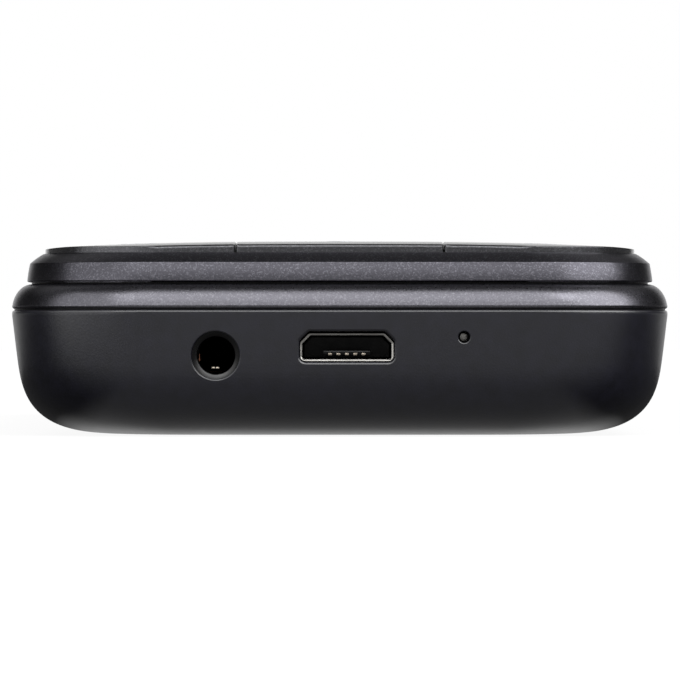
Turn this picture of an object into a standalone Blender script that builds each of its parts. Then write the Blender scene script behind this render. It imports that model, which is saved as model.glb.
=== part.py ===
# A candybar mobile phone, modelled piece by piece at its real size in metres.
# X runs across the phone, Y along it with the socket end at -Y, and Z from the back face to the keys.

import math

import bmesh
import bpy
from mathutils import Vector

# Clearances
fit_gap = 0.0003
seam_gap = 0.00015
parting_gap = 0.0002
overrun = 0.001

# Body outline, seen from above
body_length = 0.122
body_width = 0.0521
body_corner = 0.0105
outline_steps = 6

# Rear cover: a tub whose wall leans in and turns into the floor
cover_height = 0.00987
cover_rim = 0.0004
cover_wall = 0.0012
cover_draft_share = 0.115
cover_turn_width = 0.009
cover_turn_height = 0.0068
cover_turn_power = 3.35
cover_turn_steps = 7
rib_length = 0.006
rib_height = 0.0016
rib_depth = 0.0007
rib_place_share = 0.42

# Rear chassis
chassis_wall = 0.0011
bay_wall = 0.0011
bay_floor = 0.0008
battery_inset = 0.009
battery_edge = 0.0009
top_zone = 0.033
card_zone = 0.019

# Front housing
housing_rise = 0.00173
housing_bulge = 0.00145
housing_bulge_power = 1.9
housing_steps = 4
web_thickness = 0.0009
skirt_wall = 0.001
boss_radius = 0.0016
boss_inset = 0.0049
boss_end_inset = 0.013
screw_radius = 0.0006
screw_head_radius = 0.0012
screw_head_height = 0.0006
screw_seat = 0.0016
screw_end_gap = 0.0004

# Bezel round the keys and the window
bezel_inset = 0.00114
bezel_wall = 0.00146
bezel_height = 0.0023
bezel_lean = 0.0003
bezel_lip = 0.00015
shoulder_height = 0.00082
shoulder_power = 1.3
shoulder_steps = 3
ledge_thickness = 0.00085
view_border = 0.0011

# Keys
key_column = 0.01626
key_row = 0.0097
nav_depth = 0.0182
key_travel = 0.00035
key_proud = 0.00095
key_edge = 0.00027
key_corner = 0.0004
key_post_radius = 0.0012
post_clearance = 0.00005
face_crown = 0.0004
face_crown_power = 2.4
crown_cut_shares = (0.36, 0.62, 0.82)
end_fall = 0.0002
end_fall_length = 0.0042
end_fall_power = 2.3
end_fall_cut_shares = (0.35, 0.7)
select_radius = 0.0045
nav_post_radius = 0.0008
nav_post_edge = 0.0012
nav_hole_gap = 0.0005
gimbal_gap = 0.00013
gimbal_wall = 0.0009
gimbal_thickness = 0.0008
keymat_thickness = 0.0007
dome_radius = 0.002
dome_flat_radius = 0.0011
dome_rise = 0.00025
sheet_thickness = 0.00015

# Display, gasket and earpiece
tray_wall = 0.0004
tray_start_gap = 0.001
gasket_wall = 0.0007
earpiece_width = 0.012
earpiece_depth = 0.0046
slot_width = 0.0095
slot_depth = 0.0011
slot_round_share = 0.45
mesh_thickness = 0.0004

# Circuit board and what it carries
board_drop = 0.00073
board_thickness = 0.001
socket_spread = 0.00965
jack_drop = 0.00203
jack_width = 0.0064
jack_height = 0.0046
jack_length = 0.0115
jack_bore_radius = 0.0018
jack_tip_radius = 0.00145
jack_bore_depth = 0.008
jack_tip_depth = 0.0105
jack_mouth_radius = 0.00192
spring_width = 0.0012
spring_thickness = 0.00025
spring_length = 0.0052
spring_rise = 0.0003
usb_offset = 0.00055
usb_width = 0.0073
usb_height = 0.00219
usb_wall = 0.00018
usb_length = 0.0052
usb_chamfer = 0.0007
usb_mouth_gap = 0.0002
usb_tongue_width = 0.0037
usb_tongue_thickness = 0.00045
usb_tongue_recess = 0.0006
usb_base_length = 0.0012
mic_drop = 0.0006
mic_hole_radius = 0.0005
mic_width = 0.0038
mic_depth = 0.003
mic_height = 0.0011
boot_depth = 0.0014
boot_bore_radius = 0.0003
shield_margin = 0.0023
shield_depth = 0.0115
shield_height = 0.0016
shield_corner = 0.0005
sim_width = 0.0166
sim_depth = 0.0146
sim_height = 0.0014
sim_slot_height = 0.0008
card_width = 0.0136
card_depth = 0.0105
card_side_inset = 0.00675
connector_width = 0.008
connector_depth = 0.003
connector_height = 0.0046
connector_slot = 0.0011
camera_side_inset = 0.01505
camera_end_inset = 0.015
camera_size = 0.0085
camera_barrel_radius = 0.0026
camera_barrel_gap = 0.0005
camera_window_radius = 0.0035
camera_window_thickness = 0.0009
speaker_side_inset = 0.0073
speaker_camera_gap = 0.005
speaker_end_inset = 0.017
speaker_depth = 0.0138
speaker_height = 0.003
speaker_corner = 0.002
speaker_slot_width = 0.0095
speaker_slot_depth = 0.0008
speaker_slot_pitch = 0.0017
speaker_slots = 5
motor_side_inset = 0.01025
motor_end_inset = 0.028
motor_radius = 0.0021
motor_length = 0.0075
shaft_radius = 0.0004
weight_radius = 0.0019
weight_length = 0.0032
antenna_width = 0.028
antenna_depth = 0.0036
antenna_thickness = 0.00025
antenna_end_inset = 0.0042

round_sides = 20
small_sides = 10

# Places across and along the body
half_width = body_width / 2
half_length = body_length / 2
end_y = -half_length
boss_x = half_width - boss_inset
boss_rows = (boss_end_inset - half_length, 0, half_length - boss_end_inset)

# Heights, from the parting line down to the battery and up to the key tops
housing_bottom = cover_height + parting_gap
chassis_top = housing_bottom - fit_gap
board_top = housing_bottom - board_drop
board_under = board_top - board_thickness
bay_floor_top = board_under - fit_gap
bay_floor_under = bay_floor_top - bay_floor
battery_under = cover_wall + fit_gap
battery_top = bay_floor_under - fit_gap
skin_depth = cover_wall + fit_gap
hollow_depth = skin_depth + chassis_wall
housing_top = housing_bottom + housing_rise
web_under = housing_top - web_thickness
bezel_under = housing_top + fit_gap
bezel_top = bezel_under + bezel_height
keymat_top = bezel_under + keymat_thickness
cap_under = keymat_top + key_travel + fit_gap
face_top = bezel_top + key_proud
window_under = bezel_under + ledge_thickness + fit_gap
sheet_under = board_top + fit_gap
dome_top = sheet_under + sheet_thickness + dome_rise
post_under = dome_top + key_travel + post_clearance
usb_z = board_under - fit_gap - usb_height / 2
jack_z = board_under - jack_drop
mic_z = board_under - mic_drop

# Keypad layout, with the row nearest to the socket end first
number_rows = (
    ("key_star", "key_0", "key_hash"),
    ("key_7", "key_8", "key_9"),
    ("key_4", "key_5", "key_6"),
    ("key_1", "key_2", "key_3"),
)
opening_inset = bezel_inset + bezel_wall
keypad_inset = opening_inset + seam_gap
keypad_half = half_width - keypad_inset
keypad_start = end_y + keypad_inset
nav_start = keypad_start + len(number_rows) * key_row
nav_end = nav_start + nav_depth
nav_y = nav_start + nav_depth / 2
window_end = half_length - keypad_inset
column_edge = key_column / 2
nav_post_x = column_edge - nav_post_edge
nav_post_y = nav_depth / 2 - nav_post_edge
gimbal_radius = min(nav_post_x, nav_post_y) - nav_post_radius - gimbal_gap

# Display layout
tray_half = boss_x - boss_radius - 2 * fit_gap
tray_start = nav_end + tray_start_gap
panel_half = tray_half - tray_wall - fit_gap
panel_start = tray_start + tray_wall + fit_gap

# Layout inside the rear cover
battery_half = half_width - battery_inset
bay_end = half_length - top_zone - card_zone
camera_x = half_width - camera_side_inset
camera_y = half_length - camera_end_inset
speaker_low_x = camera_size / 2 - camera_x + speaker_camera_gap
speaker_high_x = half_width - speaker_side_inset
speaker_x = (speaker_low_x + speaker_high_x) / 2
speaker_y = half_length - speaker_end_inset
weight_end = half_width - motor_side_inset
weight_start = weight_end - weight_length
motor_end = weight_start - 2 * fit_gap
motor_y = half_length - motor_end_inset
card_x = half_width - card_side_inset - card_width / 2
card_y = motor_y + card_depth / 4

for item in list(bpy.data.objects):
    bpy.data.objects.remove(item, do_unlink=True)

parts = bpy.data.collections.new("mobile_phone")
cutters = bpy.data.collections.new("cutters")
for collection in (parts, cutters):
    bpy.context.scene.collection.children.link(collection)

phone = bpy.data.objects.new("phone_frame", None)
parts.objects.link(phone)


# Finishes
def finish(name, colour, roughness, metallic):
    material = bpy.data.materials.new(name)
    material.use_nodes = True
    shader = material.node_tree.nodes["Principled BSDF"]
    shader.inputs["Base Color"].default_value = (*colour, 1.0)
    shader.inputs["Roughness"].default_value = roughness
    shader.inputs["Metallic"].default_value = metallic
    return material


graphite = ((0.030, 0.031, 0.038), 0.42, 0.0)
graphite_flake = ((0.075, 0.076, 0.086), 0.38, 0.35)
gloss_black = ((0.012, 0.012, 0.014), 0.12, 0.0)
inner_black = ((0.020, 0.020, 0.022), 0.60, 0.0)
dark_rubber = ((0.025, 0.025, 0.027), 0.80, 0.0)
steel = ((0.62, 0.62, 0.60), 0.30, 1.0)
tin_plate = ((0.70, 0.70, 0.68), 0.38, 1.0)
gold_plate = ((0.86, 0.65, 0.28), 0.25, 1.0)
board_green = ((0.02, 0.12, 0.06), 0.45, 0.0)
battery_grey = ((0.10, 0.11, 0.12), 0.50, 0.0)
panel_grey = ((0.06, 0.065, 0.075), 0.15, 0.0)


# Building blocks
def add_part(name, bm, colours, origin=(0, 0, 0)):
    bmesh.ops.translate(bm, vec=-Vector(origin), verts=bm.verts)
    mesh = bpy.data.meshes.new(name)
    bm.to_mesh(mesh)
    bm.free()
    mesh.shade_smooth()
    mesh.set_sharp_from_angle(angle=math.radians(32))
    mesh.materials.append(finish(name, *colours))
    item = bpy.data.objects.new(name, mesh)
    item.location = origin
    item.parent = phone
    parts.objects.link(item)
    return item


def add_cutter(name, bm):
    mesh = bpy.data.meshes.new(name)
    bm.to_mesh(mesh)
    bm.free()
    item = bpy.data.objects.new(name, mesh)
    item.hide_render = True
    item.display_type = "WIRE"
    cutters.objects.link(item)
    return item


def combine(target, name, bm, operation):
    step = target.modifiers.new(name, "BOOLEAN")
    step.operation = operation
    step.solver = "EXACT"
    step.object = add_cutter(f"{target.name}_{name}", bm)
    return step.object


def cut(target, name, bm):
    return combine(target, name, bm, "DIFFERENCE")


def join(target, name, bm):
    return combine(target, name, bm, "UNION")


def merged(shapes):
    whole = bmesh.new()
    scratch = bpy.data.meshes.new("scratch")
    for bm in shapes:
        bm.to_mesh(scratch)
        bm.free()
        whole.from_mesh(scratch)
    bpy.data.meshes.remove(scratch)
    return whole


def box(low, high):
    bm = bmesh.new()
    bmesh.ops.create_cube(bm, size=1)
    low = Vector(low)
    high = Vector(high)
    bmesh.ops.scale(bm, vec=high - low, verts=bm.verts)
    bmesh.ops.translate(bm, vec=(low + high) / 2, verts=bm.verts)
    return bm


def block(centre_x, centre_y, width, depth, low_z, high_z):
    low = (centre_x - width / 2, centre_y - depth / 2, low_z)
    high = (centre_x + width / 2, centre_y + depth / 2, high_z)
    return box(low, high)


# A round bar or cone from one end point to the other along X, Y or Z
def bar(start, end, radius, sides, end_radius=None):
    start = Vector(start)
    end = Vector(end)
    way = end - start
    bm = bmesh.new()
    last = radius if end_radius is None else end_radius
    bmesh.ops.create_cone(bm, cap_ends=True, segments=sides, radius1=radius, radius2=last, depth=way.length)
    turn = Vector((0, 0, 1)).rotation_difference(way).to_matrix()
    bmesh.ops.rotate(bm, matrix=turn, verts=bm.verts)
    bmesh.ops.translate(bm, vec=(start + end) / 2, verts=bm.verts)
    return bm


# Edges that run along an axis, 0 to 2 for X to Z
def edges_along(bm, axis):
    runs = []
    for edge in bm.edges:
        first, last = edge.verts
        if abs(first.co[axis] - last.co[axis]) > edge.calc_length() / 2:
            runs.append(edge)
    return runs


def round_edges(bm, edges, radius, steps):
    bmesh.ops.bevel(bm, geom=edges, offset=radius, segments=steps, profile=0.5, affect="EDGES",
                    clamp_overlap=True)
    return bm


def rounded_block(centre_x, centre_y, width, depth, low_z, high_z, radius, steps=2):
    bm = block(centre_x, centre_y, width, depth, low_z, high_z)
    return round_edges(bm, edges_along(bm, 2), radius, steps)


# The body's outline, drawn in from its widest line by an inset, as a level ring of points
def body_ring(inset, z):
    half_x = half_width - inset
    half_y = half_length - inset
    radius = body_corner * half_x / half_width
    points = []
    for corner, (side_x, side_y) in enumerate(((1, 1), (-1, 1), (-1, -1), (1, -1))):
        for step in range(outline_steps + 1):
            angle = math.radians(90) * (corner + step / outline_steps)
            x = side_x * (half_x - radius) + radius * math.cos(angle)
            y = side_y * (half_y - radius) + radius * math.sin(angle)
            points.append((x, y, z))
    return points


# The places of the screws, three on each side
def screw_places():
    return [(side * boss_x, y) for side in (-1, 1) for y in boss_rows]


# A skin through level rings, listed from the bottom up, closed below and, if asked, above
def loft(rings, closed=True):
    bm = bmesh.new()
    loops = [[bm.verts.new(point) for point in ring] for ring in rings]
    for lower, upper in zip(loops, loops[1:]):
        for at in range(len(lower)):
            after = (at + 1) % len(lower)
            bm.faces.new((lower[at], lower[after], upper[after], upper[at]))
    bm.faces.new(loops[0][::-1])
    if closed:
        bm.faces.new(loops[-1])
    return bm


def body_prism(inset, low_z, high_z):
    return loft([body_ring(inset, low_z), body_ring(inset, high_z)])


# Outer side of the rear cover as (inset, height), from the floor's edge up to the rim
def cover_profile():
    points = []
    slope_top = cover_height - cover_rim
    for step in range(cover_turn_steps + 1):
        angle = math.radians(90) * (1 - step / cover_turn_steps)
        across = max(math.cos(angle), 0) ** (2 / cover_turn_power)
        up = math.sin(angle) ** (2 / cover_turn_power)
        z = cover_turn_height * (1 - up)
        inset = cover_turn_width * (1 - across) + cover_draft_share * (slope_top - z)
        points.append((inset, z))
    points.append((0, slope_top))
    points.append((0, cover_height))
    return points


# The cover's side moved inwards, square to its surface, by a depth
def inner_profile(depth):
    outer = cover_profile()
    points = []
    for at, (inset, z) in enumerate(outer):
        before = outer[max(at - 1, 0)]
        after = outer[min(at + 1, len(outer) - 1)]
        run = Vector((before[0] - after[0], after[1] - before[1])).normalized()
        if at == 0:
            run = Vector((1, 0))
        if at >= len(outer) - 2:
            run = Vector((0, 1))
        points.append((inset + depth * run.y, z + depth * run.x))
    return points


def inset_at(z, depth):
    points = inner_profile(depth)
    for (inset_low, z_low), (inset_high, z_high) in zip(points, points[1:]):
        if z_low <= z <= z_high:
            share = (z - z_low) / (z_high - z_low)
            return inset_low + share * (inset_high - inset_low)
    return points[-1][0]


def inner_loft(depth, top_z):
    points = [(inset, z) for inset, z in inner_profile(depth) if z < min(top_z, cover_height) - cover_rim / 2]
    points.append((inner_profile(depth)[-1][0], top_z))
    return loft([body_ring(inset, z) for inset, z in points])


# Places that follow the slope of the cover's wall
jack_face = end_y + inset_at(jack_z - jack_height / 2, skin_depth)
jack_end = jack_face + jack_length
usb_face = end_y + inset_at(usb_z - usb_height / 2, skin_depth)
boot_face = end_y + inset_at(mic_z - mic_height, skin_depth)
mouth_y = end_y + inset_at(jack_z - jack_height / 2, cover_wall) + fit_gap
bay_start = jack_end + fit_gap + bay_wall
board_inset = inset_at(board_under, hollow_depth) + fit_gap
earpiece_end = half_length - board_inset - skirt_wall - fit_gap
earpiece_start = earpiece_end - earpiece_depth
slot_y = (earpiece_start + earpiece_end) / 2
panel_end = earpiece_start - tray_wall - 3 * fit_gap


# How far the front face lies below its highest line: it falls to both sides and at the socket end
def crown_drop(x, y):
    side_drop = face_crown * (abs(x) / keypad_half) ** face_crown_power
    end_share = max(1 - (y - keypad_start) / end_fall_length, 0)
    return side_drop + end_fall * end_share ** end_fall_power


# Cuts a cap's faces along a line across or along it, so that they can bend there
def add_bend_line(bm, place, normal):
    geometry = bm.verts[:] + bm.edges[:] + bm.faces[:]
    bmesh.ops.bisect_plane(bm, geom=geometry, plane_co=place, plane_no=normal)


# The side of a cell that an upright edge stands at, as (right, far)
def cell_corner(edge, middle_x, middle_y):
    place = edge.verts[0].co
    return (place.x > middle_x, place.y > middle_y)


# A cap of the crowned front face. outer lists the corners that follow the body's round corners
def face_cap(low_x, high_x, low_y, high_y, low_z, outer=()):
    bm = box((low_x, low_y, low_z), (high_x, high_y, face_top))
    middle = ((low_x + high_x) / 2, (low_y + high_y) / 2)
    followed = [edge for edge in edges_along(bm, 2) if cell_corner(edge, *middle) in outer]
    others = [edge for edge in edges_along(bm, 2) if edge not in followed]
    if followed:
        round_edges(bm, followed, body_corner * keypad_half / half_width, outline_steps)
    round_edges(bm, others, key_corner, 2)
    for share in crown_cut_shares:
        for x in (-share * keypad_half, share * keypad_half):
            if low_x + key_corner < x < high_x - key_corner:
                add_bend_line(bm, (x, 0, 0), (1, 0, 0))
    for share in end_fall_cut_shares:
        y = keypad_start + share * end_fall_length
        if low_y + key_corner < y < high_y - key_corner:
            add_bend_line(bm, (0, y, 0), (0, 1, 0))
    middle_z = (low_z + face_top) / 2
    for vert in bm.verts:
        if vert.co.z > middle_z:
            vert.co.z -= crown_drop(vert.co.x, vert.co.y)
    bm.normal_update()
    rim = [edge for edge in bm.edges if is_top_rim(edge)]
    return round_edges(bm, rim, key_edge, 2)


# True where an upright side meets the top
def is_top_rim(edge):
    tilts = [face.normal.z for face in edge.link_faces]
    return abs(min(tilts)) < 0.5 < max(tilts)


def key_post(x, y, radius=key_post_radius):
    return bar((x, y, post_under), (x, y, cap_under + fit_gap), radius, small_sides)


# Where each key sits: name, cell edges in X and Y, and the outer corners it has
def key_cells():
    cells = []
    columns = (
        (-keypad_half, -column_edge - seam_gap / 2),
        (-column_edge + seam_gap / 2, column_edge - seam_gap / 2),
        (column_edge + seam_gap / 2, keypad_half),
    )
    for row, names in enumerate(number_rows):
        low_y = keypad_start + row * key_row + (seam_gap / 2 if row else 0)
        high_y = keypad_start + (row + 1) * key_row - seam_gap / 2
        for column, name in enumerate(names):
            outer = ()
            if row == 0 and column != 1:
                outer = ((column == 2, False),)
            cells.append((name, *columns[column], low_y, high_y, outer))
    side_names = (("call_key", "end_key"), ("soft_key_left", "soft_key_right"))
    for row, names in enumerate(side_names):
        low_y = nav_start + row * nav_depth / 2 + seam_gap / 2
        high_y = nav_start + (row + 1) * nav_depth / 2 - seam_gap / 2
        cells.append((names[0], *columns[0], low_y, high_y, ()))
        cells.append((names[1], *columns[2], low_y, high_y, ()))
    return cells


def nav_posts():
    return ((nav_post_x, nav_y), (-nav_post_x, nav_y), (0, nav_y + nav_post_y), (0, nav_y - nav_post_y))


def key_post_places():
    places = [(0, nav_y)]
    for _, low_x, high_x, low_y, high_y, _ in key_cells():
        places.append(((low_x + high_x) / 2, (low_y + high_y) / 2))
    return places


# Clearance holes for every key post through a sheet
def post_holes(low_z, high_z):
    holes = [
        bar((x, y, low_z), (x, y, high_z), key_post_radius + fit_gap, small_sides)
        for x, y in key_post_places()
    ]
    for x, y in nav_posts():
        holes.append(bar((x, y, low_z), (x, y, high_z), nav_post_radius + nav_hole_gap, small_sides))
    return merged(holes)


# Outline of the micro-USB shell, wide side down, grown by an amount and carried along Y
def usb_prism(grow, low_y, high_y):
    half_x = usb_width / 2 + grow
    half_z = usb_height / 2 + grow
    shape = (
        (-half_x, -half_z),
        (half_x, -half_z),
        (half_x, half_z - usb_chamfer),
        (half_x - usb_chamfer, half_z),
        (usb_chamfer - half_x, half_z),
        (-half_x, half_z - usb_chamfer),
    )
    rings = [[(usb_offset + x, y, usb_z + z) for x, z in shape] for y in (high_y, low_y)]
    return loft(rings)



# Cutters for the loudspeaker's row of slots
def speaker_slot_cuts(low_z, high_z):
    slots = []
    for at in range(speaker_slots):
        y = speaker_y + (at - (speaker_slots - 1) / 2) * speaker_slot_pitch
        slots.append(rounded_block(speaker_x, y, speaker_slot_width, speaker_slot_depth, low_z, high_z,
                                   slot_round_share * speaker_slot_depth, 1))
    return merged(slots)


# Four side blocks, from an inset to the widest line or to another inset
def side_blocks(inner_inset, outer_inset, length, low_z, high_z):
    blocks = []
    for side in (-1, 1):
        for way in (-1, 1):
            x = side * (half_width - (inner_inset + outer_inset) / 2)
            y = way * rib_place_share * half_length
            blocks.append(block(x, y, inner_inset - outer_inset, length, low_z, high_z))
    return merged(blocks)


# Rear cover
def build_rear_cover():
    rings = [body_ring(inset, z) for inset, z in cover_profile()]
    cover = add_part("rear_cover", loft(rings, closed=False), graphite)
    wall = cover.modifiers.new("wall", "SOLIDIFY")
    wall.thickness = cover_wall
    wall.offset = -1
    wall.use_even_offset = True
    rib_top = cover_height - cover_rim - fit_gap
    ribs = side_blocks(cover_wall + rib_depth, cover_wall / 2, rib_length, rib_top - rib_height, rib_top)
    join(cover, "ribs", ribs)
    before = end_y - overrun
    jack_hole = bar((-socket_spread, before, jack_z), (-socket_spread, mouth_y, jack_z),
                    jack_mouth_radius, round_sides)
    mic_hole = bar((socket_spread, before, mic_z), (socket_spread, mouth_y, mic_z), mic_hole_radius, small_sides)
    cut(cover, "socket_holes", merged([jack_hole, mic_hole, usb_prism(usb_mouth_gap, before, mouth_y)]))
    through = cover_wall + overrun
    cut(cover, "camera_hole", camera_bar(-overrun, through, camera_window_radius + seam_gap))
    cut(cover, "speaker_slots", speaker_slot_cuts(-overrun, through))
    add_part("camera_window", camera_bar(0, camera_window_thickness, camera_window_radius), gloss_black)


def camera_bar(low_z, high_z, radius):
    return bar((-camera_x, camera_y, low_z), (-camera_x, camera_y, high_z), radius, round_sides)


# Rear chassis: a tray that carries the battery, the board and the sockets
def build_rear_chassis():
    chassis = add_part("rear_chassis", inner_loft(skin_depth, chassis_top), inner_black)
    hollow = cut(chassis, "hollow", inner_loft(hollow_depth, chassis_top + overrun))
    bay_half = battery_half + fit_gap
    bay_low = (-bay_half - bay_wall, bay_start - bay_wall, 0)
    bay_high = (bay_half + bay_wall, bay_end + bay_wall, bay_floor_top)
    cut(hollow, "bay_block", box(bay_low, bay_high))
    columns = [
        bar((x, y, 0), (x, y, bay_floor_top), boss_radius + fit_gap, small_sides) for x, y in screw_places()
    ]
    cut(hollow, "columns", merged(columns))
    cut(chassis, "battery_bay", box((-bay_half, bay_start, -overrun), (bay_half, bay_end, bay_floor_under)))
    seat = bay_floor_top - screw_seat
    for at, (x, y) in enumerate(screw_places()):
        cut(chassis, f"head_hole_{at + 1}",
            bar((x, y, -overrun), (x, y, seat), screw_head_radius + fit_gap, small_sides))
        cut(chassis, f"shank_hole_{at + 1}",
            bar((x, y, seat - fit_gap), (x, y, bay_floor_top + overrun), screw_radius + fit_gap, small_sides))
    cut_socket_pockets(chassis)
    through = hollow_depth + overrun
    notch_half = connector_width / 2 + fit_gap
    notch_low = bay_floor_top - connector_height - fit_gap
    cut(chassis, "connector_notch", box((-notch_half, bay_end - overrun, notch_low),
                                        (notch_half, bay_end + bay_wall + overrun, bay_floor_under - fit_gap)))
    cut(chassis, "sim_window", box((-bay_half, bay_end + bay_wall, -overrun),
                                   (bay_half, half_length - top_zone - fit_gap, through)))
    cut(chassis, "card_window", block(-card_x, card_y, card_width, card_depth, -overrun, through))
    cut(chassis, "camera_hole", camera_bar(0, through, camera_barrel_radius + fit_gap))
    cut(chassis, "speaker_slots", speaker_slot_cuts(0, through))
    cut(chassis, "rib_channels", side_blocks(cover_wall + rib_depth + fit_gap, 0, rib_length + 2 * fit_gap, 0,
                                             cover_height - cover_rim))


# Room in the chassis for what a socket needs, from the end of the body inwards
def cut_socket_pockets(chassis):
    pockets = (
        ("jack", -socket_spread, jack_width, jack_end + fit_gap, jack_z, jack_height),
        ("usb", usb_offset, usb_width, usb_face + usb_length, usb_z, usb_height),
        ("mic", socket_spread, mic_width, boot_face + boot_depth, mic_z, mic_height + 2 * fit_gap),
    )
    for name, x, width, inner_y, z, height in pockets:
        half = width / 2 + fit_gap
        rise = height / 2 + fit_gap
        cut(chassis, f"{name}_pocket", box((x - half, end_y, z - rise), (x + half, inner_y, z + rise)))


def build_screws():
    seat = bay_floor_top - screw_seat - fit_gap
    tip = web_under - screw_end_gap
    for at, (x, y) in enumerate(screw_places()):
        head = bar((x, y, seat - screw_head_height), (x, y, seat), screw_head_radius, small_sides)
        screw = add_part(f"chassis_screw_{at + 1}", head, steel)
        join(screw, "shank", bar((x, y, seat - screw_head_height / 2), (x, y, tip), screw_radius, small_sides))


def build_battery():
    pack = box((-battery_half, bay_start + fit_gap, battery_under), (battery_half, bay_end - fit_gap, battery_top))
    add_part("battery", round_edges(pack, edges_along(pack, 1), battery_edge, 3), battery_grey)
    low_z = bay_floor_top - connector_height
    high_z = bay_floor_under - 2 * fit_gap
    body = block(0, bay_end + connector_depth / 2, connector_width, connector_depth, low_z, high_z)
    connector = add_part("battery_connector", body, inner_black)
    slots = []
    for at in (-1, 0, 1):
        x = at * connector_width / 4
        slots.append(block(x, bay_end, connector_slot, connector_depth / 2,
                           low_z - overrun, high_z - connector_slot))
    cut(connector, "contact_slots", merged(slots))


# Front housing: the round shoulder, the web over the board, its skirt and the screw bosses
def build_front_housing():
    rings = []
    for step in range(housing_steps + 1):
        angle = math.radians(90) * step / housing_steps
        inset = housing_bulge * (1 - max(math.cos(angle), 0) ** (2 / housing_bulge_power))
        rise = housing_rise * math.sin(angle) ** (2 / housing_bulge_power)
        rings.append(body_ring(inset, housing_bottom + rise))
    housing = add_part("front_housing", loft(rings), graphite)
    join(housing, "skirt", body_prism(board_inset, board_top + fit_gap, web_under + fit_gap))
    cut(housing, "recess", body_prism(board_inset + skirt_wall, board_top - overrun, web_under))
    bosses = []
    holes = []
    for x, y in screw_places():
        bosses.append(bar((x, y, board_under), (x, y, web_under + fit_gap), boss_radius, small_sides))
        holes.append(bar((x, y, board_under - overrun), (x, y, web_under), screw_radius + fit_gap, small_sides))
    join(housing, "bosses", merged(bosses))
    cut(housing, "boss_holes", merged(holes))
    low_z = web_under - overrun
    high_z = housing_top + overrun
    cut(housing, "post_holes", post_holes(low_z, high_z))
    half = tray_half + fit_gap
    split = earpiece_start - fit_gap
    cut(housing, "display_opening", box((-half, tray_start - fit_gap, low_z), (half, split + fit_gap / 2, high_z)))
    half = earpiece_width / 2 + fit_gap
    cut(housing, "earpiece_opening", box((-half, split, low_z), (half, earpiece_end + fit_gap, high_z)))


# Bezel: a ring round the keys with a ledge under the window
def build_front_bezel():
    wall_top = bezel_top - shoulder_height
    lip_inset = bezel_inset + bezel_wall - bezel_lip
    wall_inset = bezel_inset + bezel_lean
    rings = [body_ring(bezel_inset, bezel_under)]
    for step in range(shoulder_steps + 1):
        angle = math.radians(90) * step / shoulder_steps
        across = 1 - max(math.cos(angle), 0) ** (2 / shoulder_power)
        up = math.sin(angle) ** (2 / shoulder_power)
        inset = wall_inset + (lip_inset - wall_inset) * across
        rings.append(body_ring(inset, wall_top + shoulder_height * up))
    bezel = add_part("front_bezel", loft(rings), graphite_flake)
    low_z = bezel_under - overrun
    ledge_top = bezel_under + ledge_thickness
    opening = cut(bezel, "opening", body_prism(opening_inset, low_z, bezel_top + overrun))
    cut(opening, "kept_ledge", box((-half_width, nav_end, low_z - overrun), (half_width, half_length, ledge_top)))
    view_half = panel_half - view_border
    cut(bezel, "view", box((-view_half, panel_start + view_border, low_z),
                           (view_half, panel_end - view_border, ledge_top + overrun)))
    cut(bezel, "sound_slot", block(0, slot_y, slot_width, slot_depth, low_z, ledge_top + overrun))


def build_display():
    far_corners = ((False, True), (True, True))
    pane = face_cap(-keypad_half, keypad_half, nav_end + seam_gap / 2, window_end, window_under, far_corners)
    window = add_part("display_window", pane, gloss_black)
    cut(window, "sound_slot", rounded_block(0, slot_y, slot_width, slot_depth, window_under - overrun,
                                            face_top + overrun, slot_round_share * slot_depth))
    mesh_top = face_top - key_edge
    mesh_depth = slot_depth - 2 * seam_gap
    mesh = rounded_block(0, slot_y, slot_width - 2 * seam_gap, mesh_depth, mesh_top - mesh_thickness, mesh_top,
                         slot_round_share * mesh_depth)
    add_part("earpiece_mesh", mesh, steel)
    floor = board_top + fit_gap
    panel_under = floor + tray_wall + fit_gap
    panel_top = bezel_under - fit_gap
    half = panel_half
    rim = tray_wall + fit_gap
    tray_box = box((-half - rim, tray_start, floor), (half + rim, panel_end + rim, panel_top))
    tray = add_part("display_tray", tray_box, tin_plate)
    cut(tray, "well", box((-half - fit_gap, panel_start - fit_gap, floor + tray_wall),
                          (half + fit_gap, panel_end + fit_gap, bezel_under + overrun)))
    add_part("display_panel", box((-half, panel_start, panel_under), (half, panel_end, panel_top)), panel_grey)
    half = panel_half - view_border - fit_gap
    low_y = panel_start + view_border + fit_gap
    high_y = panel_end - view_border - fit_gap
    gasket = add_part("display_gasket", box((-half, low_y, bezel_under), (half, high_y, window_under - fit_gap)),
                      dark_rubber)
    half -= gasket_wall
    cut(gasket, "view", box((-half, low_y + gasket_wall, bezel_under - overrun),
                            (half, high_y - gasket_wall, window_under + overrun)))
    half = earpiece_width / 2
    add_part("earpiece", box((-half, earpiece_start, floor), (half, earpiece_end, panel_top)), steel)


# Keys, navigation ring and the parts under them
def build_keys():
    for name, low_x, high_x, low_y, high_y, outer in key_cells():
        x = (low_x + high_x) / 2
        y = (low_y + high_y) / 2
        cap = face_cap(low_x, high_x, low_y, high_y, cap_under, outer)
        key = add_part(name, cap, graphite_flake, (x, y, cap_under))
        join(key, "post", key_post(x, y))


# A round bar on the navigation ring's axis
def nav_bar(low_z, high_z, radius):
    return bar((0, nav_y, low_z), (0, nav_y, high_z), radius, round_sides)


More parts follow.
